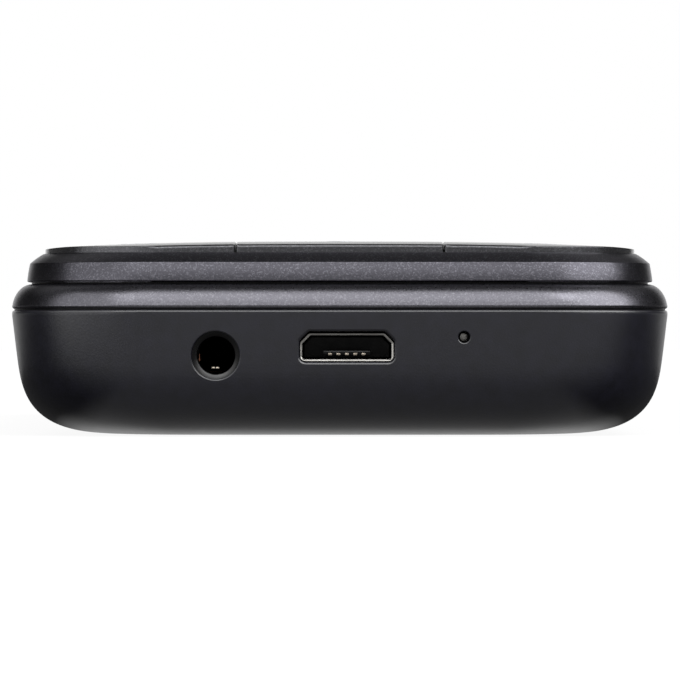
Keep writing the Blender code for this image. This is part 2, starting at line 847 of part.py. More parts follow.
def build_navigation():
    gimbal_under = bezel_under + fit_gap
    gimbal_top = gimbal_under + gimbal_thickness
    origin = (0, nav_y, (gimbal_under + gimbal_top) / 2)
    gimbal = add_part("nav_gimbal", nav_bar(gimbal_under, gimbal_top, gimbal_radius), inner_black, origin)
    cut(gimbal, "bore", nav_bar(gimbal_under - overrun, gimbal_top + overrun, gimbal_radius - gimbal_wall))
    edge = column_edge - seam_gap / 2
    cap = face_cap(-edge, edge, nav_start + seam_gap / 2, nav_end - seam_gap / 2, cap_under)
    ring = add_part("nav_ring", cap, graphite_flake, origin)
    for at, (x, y) in enumerate(nav_posts()):
        join(ring, f"post_{at + 1}", key_post(x, y, nav_post_radius))
    cut(ring, "select_hole", nav_bar(cap_under - overrun, face_top + overrun, select_radius + fit_gap))
    cap = nav_bar(cap_under, face_top, select_radius)
    round_edges(cap, [edge for edge in cap.edges if is_top_rim(edge)], key_edge, 2)
    select = add_part("nav_select", cap, graphite_flake, (0, nav_y, cap_under))
    join(select, "post", key_post(0, nav_y))


def build_key_sheets():
    low_z = bezel_under - overrun
    high_z = keymat_top + overrun
    mat = add_part("keymat", body_prism(opening_inset + fit_gap, bezel_under, keymat_top), dark_rubber)
    cut(mat, "window_half", box((-half_width, nav_end - fit_gap, low_z), (half_width, half_length, high_z)))
    cut(mat, "post_holes", post_holes(low_z, high_z))
    cut(mat, "gimbal_hole", nav_bar(low_z, high_z, gimbal_radius + fit_gap))
    sheet_top = sheet_under + sheet_thickness
    low_z = sheet_under - overrun
    high_z = sheet_top + overrun
    outline = body_prism(board_inset + skirt_wall + fit_gap, sheet_under, sheet_top)
    sheet = add_part("dome_sheet", outline, tin_plate)
    cut(sheet, "window_half", box((-half_width, tray_start - fit_gap, low_z), (half_width, half_length, high_z)))
    cut(sheet, "boss_notches", boss_notches(low_z, high_z))
    middle_z = (sheet_under + sheet_top) / 2
    domes = [
        bar((x, y, middle_z), (x, y, dome_top), dome_radius, small_sides, dome_flat_radius)
        for x, y in (*key_post_places(), *nav_posts())
    ]
    join(sheet, "domes", merged(domes))


# Room for the screw bosses at the edge of a sheet
def boss_notches(low_z, high_z):
    reach = boss_radius + fit_gap
    return merged([
        block(side * half_width, y, 2 * (boss_inset + reach), 2 * reach, low_z, high_z)
        for side in (-1, 1)
        for y in boss_rows
    ])


# Main board and the parts soldered to it
def build_main_board():
    board = add_part("main_board", body_prism(board_inset, board_under, board_top), board_green)
    cut(board, "boss_notches", boss_notches(board_under - overrun, board_top + overrun))
    cut(board, "jack_notch", box((-socket_spread - jack_width / 2 - fit_gap, end_y, board_under - overrun),
                                 (-socket_spread + jack_width / 2 + fit_gap, jack_end + fit_gap,
                                  board_top + overrun)))
    shield_width = speaker_high_x - speaker_low_x - 2 * shield_margin
    shield = rounded_block(speaker_x, speaker_y, shield_width, shield_depth, bay_floor_top - shield_height,
                           bay_floor_top, shield_corner)
    add_part("rf_shield", shield, tin_plate)
    antenna_y = half_length - antenna_end_inset - antenna_depth / 2
    antenna = block(0, antenna_y, antenna_width, antenna_depth, bay_floor_top - antenna_thickness, bay_floor_top)
    add_part("antenna", antenna, gold_plate)


def build_audio_jack():
    x = -socket_spread
    half = jack_height / 2
    body = block(x, jack_face + jack_length / 2, jack_width, jack_length, jack_z - half, jack_z + half)
    jack = add_part("audio_jack", body, inner_black)
    step_y = jack_face + jack_bore_depth
    cut(jack, "bore", bar((x, jack_face - overrun, jack_z), (x, step_y, jack_z), jack_bore_radius, round_sides))
    cut(jack, "tip_bore", bar((x, step_y - overrun, jack_z), (x, jack_face + jack_tip_depth, jack_z),
                              jack_tip_radius, round_sides))
    spring_y = jack_face + jack_bore_depth / 2
    cut(jack, "spring_slot", block(x, spring_y, spring_width + 2 * fit_gap, spring_length + 2 * fit_gap,
                                   jack_z - half - overrun, jack_z))
    floor = jack_z - jack_bore_radius
    leaf = block(x, spring_y, spring_width, spring_length, floor - spring_thickness, floor)
    spring = add_part("jack_spring", leaf, gold_plate)
    half = spring_width / 2
    join(spring, "bump", bar((x - half, spring_y, floor), (x + half, spring_y, floor), spring_rise, small_sides))


def build_usb_socket():
    back = usb_face + usb_length
    shell = add_part("usb_shell", usb_prism(0, usb_face, back), steel)
    cut(shell, "mouth", usb_prism(-usb_wall, usb_face - overrun, back + overrun))
    base_y = back - usb_base_length
    base = add_part("usb_tongue", usb_prism(-usb_wall - seam_gap, base_y, back - seam_gap), inner_black)
    low_z = usb_z - usb_height / 2 + usb_wall + fit_gap
    half = usb_tongue_width / 2
    join(base, "tongue", box((usb_offset - half, usb_face + usb_tongue_recess, low_z),
                             (usb_offset + half, base_y + usb_base_length / 2, low_z + usb_tongue_thickness)))


def build_microphone():
    x = socket_spread
    half = mic_width / 2
    inner_y = boot_face + boot_depth
    boot = add_part("mic_boot", box((x - half, boot_face, mic_z - mic_height / 2 - fit_gap),
                                    (x + half, inner_y, bay_floor_top)), dark_rubber)
    cut(boot, "bore", bar((x, boot_face - overrun, mic_z), (x, inner_y + overrun, mic_z), boot_bore_radius,
                          small_sides))
    mic_start = inner_y + fit_gap
    add_part("microphone", box((x - half, mic_start, bay_floor_top - mic_height),
                               (x + half, mic_start + mic_depth, bay_floor_top)), steel)


# A flat metal socket under the board with a slot for a card, open towards the battery
def add_card_socket(name, x, y, width, depth):
    low_z = bay_floor_top - sim_height
    socket = add_part(name, block(x, y, width, depth, low_z, bay_floor_top), tin_plate)
    slot_low = (low_z + bay_floor_top - sim_slot_height) / 2
    half = width / 2 - tray_wall
    cut(socket, "slot", box((x - half, y - depth, slot_low), (x + half, y + depth / 2 - tray_wall,
                                                             slot_low + sim_slot_height)))


def build_card_sockets():
    sim_y = half_length - top_zone - sim_depth / 2 - 2 * fit_gap
    for at, side in enumerate((-1, 1)):
        add_card_socket(f"sim_socket_{at + 1}", side * (sim_width / 2 + fit_gap), sim_y, sim_width, sim_depth)
    add_card_socket("memory_card_socket", -card_x, card_y, card_width - 2 * fit_gap, card_depth - 2 * fit_gap)


def build_camera():
    body_low = hollow_depth + fit_gap
    body = block(-camera_x, camera_y, camera_size, camera_size, body_low, bay_floor_top)
    camera = add_part("camera_module", body, inner_black)
    barrel_low = camera_window_thickness + camera_barrel_gap
    join(camera, "barrel", camera_bar(barrel_low, body_low + fit_gap, camera_barrel_radius))


def build_loudspeaker():
    low_z = hollow_depth + fit_gap
    body = rounded_block(speaker_x, speaker_y, speaker_high_x - speaker_low_x, speaker_depth, low_z,
                         low_z + speaker_height, speaker_corner)
    add_part("loudspeaker", body, inner_black)


# A round bar on the vibration motor's axis, which runs along X
def motor_bar(start_x, end_x, radius, sides):
    motor_z = hollow_depth + fit_gap + motor_radius
    return bar((start_x, motor_y, motor_z), (end_x, motor_y, motor_z), radius, sides)


def build_vibration_motor():
    motor_z = hollow_depth + fit_gap + motor_radius
    body = motor_bar(motor_end - motor_length, motor_end, motor_radius, round_sides)
    motor = add_part("vibration_motor", body, tin_plate)
    join(motor, "bearing", motor_bar(motor_end - fit_gap, motor_end + fit_gap, 2 * shaft_radius, small_sides))
    weight = add_part("vibration_weight", motor_bar(weight_start, weight_end, weight_radius, round_sides), steel,
                      (weight_start, motor_y, motor_z))
    reach = 2 * weight_radius
    cut(weight, "missing_half", box((weight_start - overrun, motor_y - reach, motor_z + shaft_radius),
                                    (weight_end + overrun, motor_y + reach, motor_z + reach)))


build_rear_cover()
build_rear_chassis()
build_screws()
build_battery()
build_front_housing()
build_front_bezel()
build_display()
build_keys()
build_navigation()
build_key_sheets()
build_main_board()
build_audio_jack()
build_usb_socket()
build_microphone()
build_card_sockets()
build_camera()
build_loudspeaker()
build_vibration_motor()
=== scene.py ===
# Looks for a candybar mobile phone. X runs across it, Y along it with the socket end at -Y,
# and Z up from the table to the keys. Shapes are drawn in millimetres and scaled once, at the end.
import math

import bmesh
import bpy
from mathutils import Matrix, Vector


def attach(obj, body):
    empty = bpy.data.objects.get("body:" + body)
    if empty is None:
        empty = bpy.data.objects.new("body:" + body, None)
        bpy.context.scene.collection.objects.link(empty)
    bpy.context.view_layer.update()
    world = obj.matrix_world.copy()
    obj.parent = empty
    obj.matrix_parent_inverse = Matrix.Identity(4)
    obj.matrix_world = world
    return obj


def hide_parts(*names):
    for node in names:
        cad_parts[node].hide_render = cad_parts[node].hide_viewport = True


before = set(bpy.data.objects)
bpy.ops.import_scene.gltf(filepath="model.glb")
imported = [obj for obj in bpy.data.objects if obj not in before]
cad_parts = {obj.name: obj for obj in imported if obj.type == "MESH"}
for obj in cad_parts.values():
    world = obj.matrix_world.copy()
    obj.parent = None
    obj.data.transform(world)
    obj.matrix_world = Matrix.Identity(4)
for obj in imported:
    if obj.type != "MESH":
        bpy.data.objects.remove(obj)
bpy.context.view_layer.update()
print("frame loaded:", len(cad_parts), "solids")

millimetre = 0.001
# Points closer than this, in mm, are one
weldReach = 0.0005

# The body that every piece follows, in mm
body = {
    "halfWidth": 26.05,
    "halfLength": 61.0,
    "cornerRadius": 10.5,
    "cornerSteps": 20,
    "faceTop": 15.35,
    "fitGap": 0.3,
    "seamGap": 0.15,
}


# ---- helpers for colours and nodes
def linearColour(hexText):
    channels = []
    for at in (0, 2, 4):
        value = int(hexText[at:at + 2], 16) / 255
        channels.append(value / 12.92 if value <= 0.04045 else ((value + 0.055) / 1.055) ** 2.4)
    return (*channels, 1.0)


def addNode(tree, kind, inputs=None, **settings):
    node = tree.nodes.new(kind)
    for name, value in settings.items():
        setattr(node, name, value)
    for name, value in (inputs or {}).items():
        if isinstance(value, bpy.types.NodeSocket):
            tree.links.new(value, node.inputs[name])
        else:
            node.inputs[name].default_value = value
    return node


# The result of a maths node, of a vector maths node and of a range node
def calc(tree, operation, *values):
    return addNode(tree, "ShaderNodeMath", dict(enumerate(values)), operation=operation).outputs[0]


def vectorCalc(tree, operation, *values):
    node = addNode(tree, "ShaderNodeVectorMath", dict(enumerate(values)), operation=operation)
    return node.outputs["Value" if operation in ("LENGTH", "DOT_PRODUCT") else "Vector"]


def remap(tree, value, low, high, first=0.0, last=1.0, smooth=False):
    return addNode(tree, "ShaderNodeMapRange", {
        "Value": value, "From Min": low, "From Max": high, "To Min": first, "To Max": last},
        interpolation_type="SMOOTHSTEP" if smooth else "LINEAR").outputs["Result"]


def splitAxes(tree, vector):
    return addNode(tree, "ShaderNodeSeparateXYZ", {"Vector": vector}).outputs


def newFinish(name, **sockets):
    material = bpy.data.materials.new(name)
    material.use_nodes = True
    tree = material.node_tree
    shader = tree.nodes["Principled BSDF"]
    for label, value in sockets.items():
        shader.inputs[label.replace("_", " ")].default_value = value
    place = addNode(tree, "ShaderNodeTexCoord").outputs["Object"]
    return material, tree, shader, place


# A pattern's scale for a feature of this size in mm, because Object coordinates are in metres
def scaleFor(size):
    return 1 / (size * millimetre)


# Noise remapped to a range, for colour, roughness and height
def noiseRange(tree, place, size, low, high, detail=2.0):
    noise = addNode(tree, "ShaderNodeTexNoise", {"Vector": place, "Scale": scaleFor(size), "Detail": detail})
    return remap(tree, noise.outputs["Fac"], 0.3, 0.7, low, high)


# A mix of two colours, each given in hex or as a socket
def mixColours(tree, factor, first, second):
    mix = addNode(tree, "ShaderNodeMix", {"Factor": factor}, data_type="RGBA")
    for at, colour in ((6, first), (7, second)):
        if isinstance(colour, str):
            mix.inputs[at].default_value = linearColour(colour)
        else:
            tree.links.new(colour, mix.inputs[at])
    return mix.outputs[2]


def paint(tree, shader, colour, roughness):
    tree.links.new(colour, shader.inputs["Base Color"])
    tree.links.new(roughness, shader.inputs["Roughness"])


def addBump(tree, shader, height, depth):
    bump = addNode(tree, "ShaderNodeBump", {
        "Height": height, "Distance": depth * millimetre, "Strength": 1.0})
    tree.links.new(bump.outputs["Normal"], shader.inputs["Normal"])


# Painted highlight: wherever a face points up its specular level is raised, so that the lamps above light
# rims and the lower edges of holes more brightly
def paintedUpwardHighlight(tree, shader):
    up = splitAxes(tree, addNode(tree, "ShaderNodeTexCoord").outputs["Normal"])["Z"]
    tree.links.new(remap(tree, up, 0.04, 0.3, 0.12, 0.6), shader.inputs["Specular IOR Level"])


# A finish whose colour, roughness and height follow noise. Sizes are in mm, roughness is
# (size, low, high) and bump is (size, depth) with its detail if that isn't 2.
def mottled(name, colours, size, roughness, bump=None, detail=2.0, stretch=None, evenRoughness=False,
            **sockets):
    material, tree, shader, plain = newFinish(name, **sockets)
    place = plain
    if stretch:
        place = addNode(tree, "ShaderNodeMapping", {"Vector": plain, "Scale": stretch}).outputs["Vector"]
    colour = mixColours(tree, noiseRange(tree, place, size, 0.0, 1.0, detail), *colours)
    paint(tree, shader, colour, noiseRange(tree, plain if evenRoughness else place, *roughness))
    if bump:
        size, depth, *fineness = bump
        addBump(tree, shader, noiseRange(tree, place, size, 0.0, 1.0, *fineness), depth)
    return material


# ---- finishes
# Moulded polycarbonate with a fine spark-eroded grain: a soft, dark, slightly blue surface.
def grainedPolycarbonate():
    # The real grain is about 0.03 mm. 0.14 mm is as fine as the picture shows.
    material = mottled("grained_polycarbonate", ("0e0e16", "14141e"), 1.1, (0.6, 0.36, 0.42),
                       (0.14, 0.004, 3.0), IOR=1.58, Coat_Weight=1.0, Coat_Roughness=0.29)
    tree = material.node_tree
    shader = tree.nodes["Principled BSDF"]
    # Painted highlight on the faces that point up.
    paintedUpwardHighlight(tree, shader)
    tree.links.new(shader.inputs["Normal"].links[0].from_socket, shader.inputs["Coat Normal"])
    return material


# Lacquer full of aluminium flake: a metallic grey whose flakes glint a little one by one.
def flakeLacquer(name, dark, light, roughness, coat, depth):
    material, tree, shader, place = newFinish(name, Metallic=1.0, Coat_Weight=coat, Coat_Roughness=0.12)
    # Real flakes are 0.02 to 0.05 mm wide, drawn at 0.09 mm so that they show.
    flakes = addNode(tree, "ShaderNodeTexVoronoi", {"Vector": place, "Scale": scaleFor(0.09)})
    chance = addNode(tree, "ShaderNodeSeparateColor", {"Color": flakes.outputs["Color"]}).outputs
    rare = calc(tree, "POWER", chance["Red"], 4.0)
    paint(tree, shader, mixColours(tree, rare, dark, light),
          remap(tree, chance["Green"], 0.0, 1.0, roughness - 0.03, roughness + 0.03))
    addBump(tree, shader, noiseRange(tree, place, 0.16, 0.0, 1.0), depth)
    return material


# Cast acrylic with a black print behind it: a deep gloss with the display area a shade lighter.
def printedAcrylic():
    material, tree, shader, place = newFinish("printed_acrylic", IOR=1.49, Coat_Weight=0.3,
                                              Coat_Roughness=0.02)
    centred = addNode(tree, "ShaderNodeMapping", {
        "Vector": place, "Location": (0, -display["viewMiddle"] * millimetre, 0)})
    axes = splitAxes(tree, centred.outputs["Vector"])
    masks = [calc(tree, "LESS_THAN", calc(tree, "ABSOLUTE", axes[axis]), half * millimetre)
             for axis, half in (("X", display["viewHalfWidth"]), ("Y", display["viewHalfLength"]))]
    # Display rows are 0.16 mm apart on such a panel.
    rows = addNode(tree, "ShaderNodeTexWave", {"Vector": place, "Scale": scaleFor(0.16) / 20},
                   bands_direction="Y")
    panel = mixColours(tree, rows.outputs["Fac"], "15171b", "1b1e23")
    paint(tree, shader, mixColours(tree, calc(tree, "MULTIPLY", *masks), "060607", panel),
          noiseRange(tree, place, 6.0, 0.035, 0.07))
    return material


# Liquid crystal polymer, the black plastic inside sockets: smooth, with flow lines.
def flowedPolymer(name, dark, light):
    material, tree, shader, place = newFinish(name, IOR=1.6)
    flow = addNode(tree, "ShaderNodeTexNoise", {
        "Vector": place, "Scale": scaleFor(0.8), "Detail": 5.0, "Distortion": 1.5}).outputs["Fac"]
    paint(tree, shader, mixColours(tree, flow, dark, light), noiseRange(tree, place, 0.5, 0.28, 0.38))
    # Painted highlight on the faces that point up.
    paintedUpwardHighlight(tree, shader)
    addBump(tree, shader, flow, 0.004)
    return material


# Plated or rolled sheet metal: fine drawn lines along one axis, worn a little brighter in patches.
def rolledMetal(name, dark, light, low, high, grain=(1, 12, 1)):
    # Drawn lines are a few hundredths of a millimetre apart, shown here at 0.12 mm.
    return mottled(name, (dark, light), 1.2, (0.9, low, high), (1.2, 0.002, 3.0), 3.0, grain, Metallic=1.0)


# Circuit laminate under green solder mask: a satin green with copper runs showing as lighter lines.
def solderMask():
    material, tree, shader, place = newFinish("solder_mask", IOR=1.55, Coat_Weight=0.2, Coat_Roughness=0.2)
    runs = addNode(tree, "ShaderNodeTexBrick", {
        "Vector": place, "Scale": scaleFor(2.2), "Mortar Size": 0.05, "Color1": (0, 0, 0, 1),
        "Color2": (0.12, 0.12, 0.12, 1), "Mortar": (1, 1, 1, 1)}).outputs
    paint(tree, shader, mixColours(tree, runs["Color"], "12402a", "2b6b45"),
          noiseRange(tree, place, 0.7, 0.34, 0.48))
    addBump(tree, shader, runs["Fac"], 0.02)
    return material


# Screen-printed ink: flat, with a slightly uneven film.
def printedInk(name, thin, thick):
    return mottled(name, (thin, thick), 0.3, (0.25, 0.5, 0.62), IOR=1.5)


# ---- helpers for shapes, all in mm
def addObject(name, data):
    thing = bpy.data.objects.new(name, data)
    bpy.context.scene.collection.objects.link(thing)
    return thing


def newPiece(name, bm):
    mesh = bpy.data.meshes.new(name)
    bm.to_mesh(mesh)
    bm.free()
    return addObject(name, mesh)


# The evaluated object as a plain mesh
def evaluatedMesh(thing):
    graph = bpy.context.evaluated_depsgraph_get()
    return bpy.data.meshes.new_from_object(thing.evaluated_get(graph), depsgraph=graph)


# Applies an object's modifiers and drops them
def bake(piece):
    mesh = evaluatedMesh(piece)
    piece.modifiers.clear()
    old = piece.data
    piece.data = mesh
    bpy.data.meshes.remove(old)
    return piece


def carve(piece, *cutters, operation="DIFFERENCE"):
    for cutter in cutters:
        step = piece.modifiers.new("carve", "BOOLEAN")
        step.operation = operation
        step.solver = "EXACT"
        step.object = cutter
    bake(piece)
    for cutter in cutters:
        bpy.data.objects.remove(cutter, do_unlink=True)
    return piece


def fuse(piece, *others):
    return carve(piece, *others, operation="UNION")


# Several separate closed shapes as one object
def joined(name, shapes):
    bm = bmesh.new()
    for shape in shapes:
        bm.from_mesh(shape.data)
        bpy.data.objects.remove(shape, do_unlink=True)
    return newPiece(name, bm)


# Smooth faces with crisp edges over an angle, scaled to metres, riding on a body
def place(piece, rider, slotName, *nodes, material, crease=32):
    mesh = piece.data
    mesh.transform(piece.matrix_world)
    piece.matrix_world.identity()
    for vertex in mesh.vertices:
        vertex.co *= millimetre
    mesh.materials.clear()
    mesh.materials.append(material)
    mesh.polygons.foreach_set("material_index", [0] * len(mesh.polygons))
    mesh.shade_smooth()
    mesh.set_sharp_from_angle(angle=math.radians(crease))
    weighted = piece.modifiers.new("even_shading", "WEIGHTED_NORMAL")
    weighted.keep_sharp = True
    bake(piece)
    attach(piece, rider)
    if nodes:
        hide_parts(*nodes)


def outwards(bm):
    bmesh.ops.remove_doubles(bm, verts=bm.verts, dist=weldReach)
    bmesh.ops.recalc_face_normals(bm, faces=bm.faces)
    return bm


def soften(bm, edges, radius, segments=2):
    bmesh.ops.bevel(bm, geom=edges, offset=radius, segments=segments, profile=0.5, affect="EDGES")


def cutAlong(bm, point, normal):
    bmesh.ops.bisect_plane(bm, geom=bm.verts[:] + bm.edges[:] + bm.faces[:], plane_co=point, plane_no=normal)


def boxShape(low, high):
    bm = bmesh.new()
    bmesh.ops.create_cube(bm, size=1)
    low = Vector(low)
    high = Vector(high)
    bmesh.ops.scale(bm, vec=high - low, verts=bm.verts)
    bmesh.ops.translate(bm, vec=(low + high) / 2, verts=bm.verts)
    return bm


def blockPiece(name, low, high, soft=0.0):
    bm = boxShape(low, high)
    if soft:
        soften(bm, bm.edges[:], soft)
    return newPiece(name, bm)


# A skin over rings of points with equally many points each, capped at both ends
def skin(rings, closedLoop=False):
    bm = bmesh.new()
    loops = [[bm.verts.new(point) for point in ring] for ring in rings]
    pairs = list(zip(loops, loops[1:]))
    if closedLoop:
        pairs.append((loops[-1], loops[0]))
    for lower, upper in pairs:
        for at in range(len(lower)):
            after = (at + 1) % len(lower)
            bm.faces.new((lower[at], lower[after], upper[after], upper[at]))
    if not closedLoop:
        bm.faces.new(loops[0][::-1])
        bm.faces.new(loops[-1])
    return outwards(bm)


def circle(radius, sides=48):
    return [(radius * math.cos(2 * math.pi * at / sides), radius * math.sin(2 * math.pi * at / sides))
            for at in range(sides)]


# A round solid from (radius, distance) pairs along Z or Y from a point
def turned(profile, start, axis="Z", sides=48):
    x, y, z = start
    rings = []
    for radius, along in profile:
        spots = circle(radius, sides)
        if axis == "Z":
            rings.append([(x + first, y + second, z + along) for first, second in spots])
        else:
            rings.append([(x + first, y + along, z + second) for first, second in spots])
    return skin(rings)


# A quarter turn of radius 1: how far in and how far down its points at these angles lie
def quarter(*degrees):
    turns = [math.radians(degree) for degree in degrees]
    return [(1 - math.cos(turn), 1 - math.sin(turn)) for turn in turns]


# A superellipse's quarter from its side to its top, as shares of its width and height
def superQuarter(steps, power):
    turns = [math.pi / 2 * step / steps for step in range(steps + 1)]
    return [(max(math.cos(turn), 0) ** (2 / power), math.sin(turn) ** (2 / power)) for turn in turns]


# A rounded outline of a polygon, each corner given as (x, y, radius)
def roundedOutline(corners, steps):
    points = []
    for at, (x, y, radius) in enumerate(corners):
        corner = Vector((x, y))
        toBefore = (Vector(corners[at - 1][:2]) - corner).normalized()
        toAfter = (Vector(corners[(at + 1) % len(corners)][:2]) - corner).normalized()
        half = toBefore.angle(toAfter) / 2
        if radius <= 0:
            points.append((x, y))
            continue
        reach = radius / math.tan(half)
        centre = corner + (toBefore + toAfter).normalized() * (radius / math.sin(half))
        first = corner + toBefore * reach - centre
        last = corner + toAfter * reach - centre
        sweep = first.angle_signed(last)
        for step in range(steps + 1):
            turn = -sweep * step / steps
            spot = centre + Vector((first.x * math.cos(turn) - first.y * math.sin(turn),
                                    first.x * math.sin(turn) + first.y * math.cos(turn)))
            points.append((spot.x, spot.y))
    return points


# ---- node trees that build what follows a rule
# A node group with named inputs, and its closing nodes
def newGroup(name, result, sockets):
    tree = bpy.data.node_groups.new(name, "GeometryNodeTree")
    for label, kind in sockets.items():
        tree.interface.new_socket(label, in_out="INPUT", socket_type="NodeSocket" + kind)
    tree.interface.new_socket(result, in_out="OUTPUT", socket_type="NodeSocketGeometry")
    return tree, addNode(tree, "NodeGroupInput").outputs


def closeGroup(tree, geometry, finish):
    realised = addNode(tree, "GeometryNodeRealizeInstances", {"Geometry": geometry})
    finished = addNode(tree, "GeometryNodeSetMaterial", {"Geometry": realised.outputs[0], "Material": finish})
    addNode(tree, "NodeGroupOutput", {0: finished.outputs[0]})
    return tree


# A shell whose rings all follow the body's round corners. The piece's own points are the profile:
# X is how far a ring lies inside the widest line, Z its height.
def shellTree():
    tree, given = newGroup("body_shell", "Shell", {
        "Profile": "Geometry", "Half Width": "Float", "Half Length": "Float", "Corner Radius": "Float",
        "Corner Steps": "Int", "Finish": "Material"})

    def whole(operation, first, second):
        return addNode(tree, "FunctionNodeIntegerMath", {0: first, 1: second}, operation=operation).outputs[0]

    size = addNode(tree, "GeometryNodeAttributeDomainSize", {"Geometry": given["Profile"]}, component="MESH")
    rows = size.outputs["Point Count"]
    perCorner = whole("ADD", given["Corner Steps"], 1)
    columns = whole("MULTIPLY", perCorner, 4)
    grid = addNode(tree, "GeometryNodeMeshGrid", {"Vertices X": whole("ADD", columns, 1), "Vertices Y": rows})
    index = addNode(tree, "GeometryNodeInputIndex").outputs[0]
    column = whole("MODULO", whole("DIVIDE_FLOOR", index, rows), columns)
    corner = whole("DIVIDE_FLOOR", column, perCorner)
    share = calc(tree, "DIVIDE", whole("MODULO", column, perCorner), given["Corner Steps"])
    angle = calc(tree, "MULTIPLY", calc(tree, "ADD", corner, share), math.pi / 2)
    middle = calc(tree, "MULTIPLY", calc(tree, "ADD", corner, 0.5), math.pi / 2)
    sample = addNode(tree, "GeometryNodeSampleIndex", {
        "Geometry": given["Profile"], "Value": addNode(tree, "GeometryNodeInputPosition").outputs[0],
        "Index": whole("MODULO", index, rows)}, data_type="FLOAT_VECTOR", domain="POINT")
    point = splitAxes(tree, sample.outputs["Value"])
    halfX = calc(tree, "SUBTRACT", given["Half Width"], point["X"])
    halfY = calc(tree, "SUBTRACT", given["Half Length"], point["X"])
    radius = calc(tree, "DIVIDE", calc(tree, "MULTIPLY", given["Corner Radius"], halfX), given["Half Width"])
    spot = {"Z": point["Z"]}
    for label, half, turn in (("X", halfX, "COSINE"), ("Y", halfY, "SINE")):
        side = calc(tree, "SIGN", calc(tree, turn, middle))
        straight = calc(tree, "MULTIPLY", side, calc(tree, "SUBTRACT", half, radius))
        spot[label] = calc(tree, "ADD", straight, calc(tree, "MULTIPLY", radius, calc(tree, turn, angle)))
    moved = addNode(tree, "GeometryNodeSetPosition", {
        "Geometry": grid.outputs["Mesh"], "Position": addNode(tree, "ShaderNodeCombineXYZ", spot).outputs[0]})
    welded = addNode(tree, "GeometryNodeMergeByDistance", {
        "Geometry": moved.outputs[0], "Distance": weldReach})
    return closeGroup(tree, welded.outputs[0], given["Finish"])


# Copies of the piece's own mesh on a grid of places
def gridTree():
    tree, given = newGroup("copies_on_grid", "Copies", {
        "Original": "Geometry", "Columns": "Int", "Rows": "Int", "Pitch X": "Float", "Pitch Y": "Float",
        "Middle": "Vector", "Finish": "Material"})
    spans = [calc(tree, "MULTIPLY", calc(tree, "SUBTRACT", given[count], 1.0), given[pitch])
             for count, pitch in (("Columns", "Pitch X"), ("Rows", "Pitch Y"))]
    grid = addNode(tree, "GeometryNodeMeshGrid", {
        "Size X": spans[0], "Size Y": spans[1], "Vertices X": given["Columns"], "Vertices Y": given["Rows"]})
    moved = addNode(tree, "GeometryNodeTransform", {
        "Geometry": grid.outputs["Mesh"], "Translation": given["Middle"]})
    instances = addNode(tree, "GeometryNodeInstanceOnPoints", {
        "Points": moved.outputs[0], "Instance": given["Original"]})
    return closeGroup(tree, instances.outputs[0], given["Finish"])


def grow(piece, tree, inputs):
    step = piece.modifiers.new(tree.name, "NODES")
    step.node_group = tree
    for item in tree.interface.items_tree:
        if item.in_out == "INPUT" and item.name in inputs:
            step[item.identifier] = inputs[item.name]
    return bake(piece)


bodyShell = shellTree()
copiesOnGrid = gridTree()


# A closed body shell from a profile of (inset, height) pairs
def shell(name, profile, material=None):
    bm = bmesh.new()
    for inset, height in profile:
        bm.verts.new((inset, 0, height))
    piece = grow(newPiece(name, bm), bodyShell, {
        "Half Width": body["halfWidth"], "Half Length": body["halfLength"],
        "Corner Radius": body["cornerRadius"], "Corner Steps": body["cornerSteps"], "Finish": material})
    bm = bmesh.new()
    bm.from_mesh(piece.data)
    outwards(bm)
    bm.to_mesh(piece.data)
    bm.free()
    return piece


def copies(name, bm, columns, rows, pitchX, pitchY, middle, material=None):
    piece = newPiece(name, bm)
    return grow(piece, copiesOnGrid, {
        "Columns": columns, "Rows": rows, "Pitch X": pitchX, "Pitch Y": pitchY,
        "Middle": middle, "Finish": material})


# A bulging arc from one (inset, height) to another that leaves and arrives at these angles in degrees
def curve(first, last, firstAngle, lastAngle, steps):
    first = Vector(first)
    last = Vector(last)
    # The handles are this part of the way long.
    handle = (last - first).length * 0.38
    leaving, arriving = (Vector((math.cos(math.radians(angle)), math.sin(math.radians(angle)))) * handle
                         for angle in (firstAngle, lastAngle))
    points = []
    for step in range(steps + 1):
        t = step / steps
        spot = (first * (1 - t) ** 3 + (first + leaving) * 3 * t * (1 - t) ** 2
                + (last - arriving) * 3 * t * t * (1 - t) + last * t ** 3)
        points.append((spot.x, spot.y))
    return points


grainedCover = grainedPolycarbonate()
housingLacquer = flakeLacquer("housing_flake_lacquer", "626167", "77767c", 0.3, 0.0, 0.0015)
bezelLacquer = flakeLacquer("bezel_flake_lacquer", "525157", "717077", 0.31, 0.0, 0.002)
keyLacquer = flakeLacquer("key_flake_lacquer", "4a4a4d", "66666a", 0.33, 0.7, 0.002)
# Glass-filled nylon, moulded: dull black with a faint mottle.
nylon = mottled("moulded_nylon", ("17181a", "222326"), 0.9, (0.35, 0.5, 0.66), (0.2, 0.008), 4.0,
                IOR=1.53, Specular_IOR_Level=0.4)
polymer = flowedPolymer("flowed_polymer", "0a0a0b", "111112")
socketPlastic = flowedPolymer("socket_plastic", "121213", "19191a")
# Silicone rubber: matt, soft and a little dusty.
rubber = mottled("silicone_rubber", ("1a1a1b", "262627"), 1.6, (0.4, 0.7, 0.82), (0.18, 0.005),
                 IOR=1.41, Sheen_Weight=0.15, Sheen_Roughness=0.5)
platedSteel = rolledMetal("nickel_plated_steel", "9f9d98", "bfbdb8", 0.24, 0.36)
tinnedSheet = rolledMetal("tinned_sheet", "a6a8a8", "c6c8c8", 0.3, 0.44, (10, 1, 1))
paleGold = rolledMetal("worn_pale_gold", "a99f90", "d3c8b8", 0.2, 0.34)
copper = rolledMetal("tarnished_copper", "4a3024", "7a5442", 0.3, 0.45)
tungsten = rolledMetal("sintered_tungsten", "5f6064", "76777b", 0.34, 0.46, (1, 1, 1))
# Hard gold over nickel: warm, with small brighter wiping marks.
gold = mottled("hard_gold", ("d9a948", "f2cf7d"), 0.25, (0.15, 0.16, 0.32), (0.12, 0.002), Metallic=1.0)
laminate = solderMask()
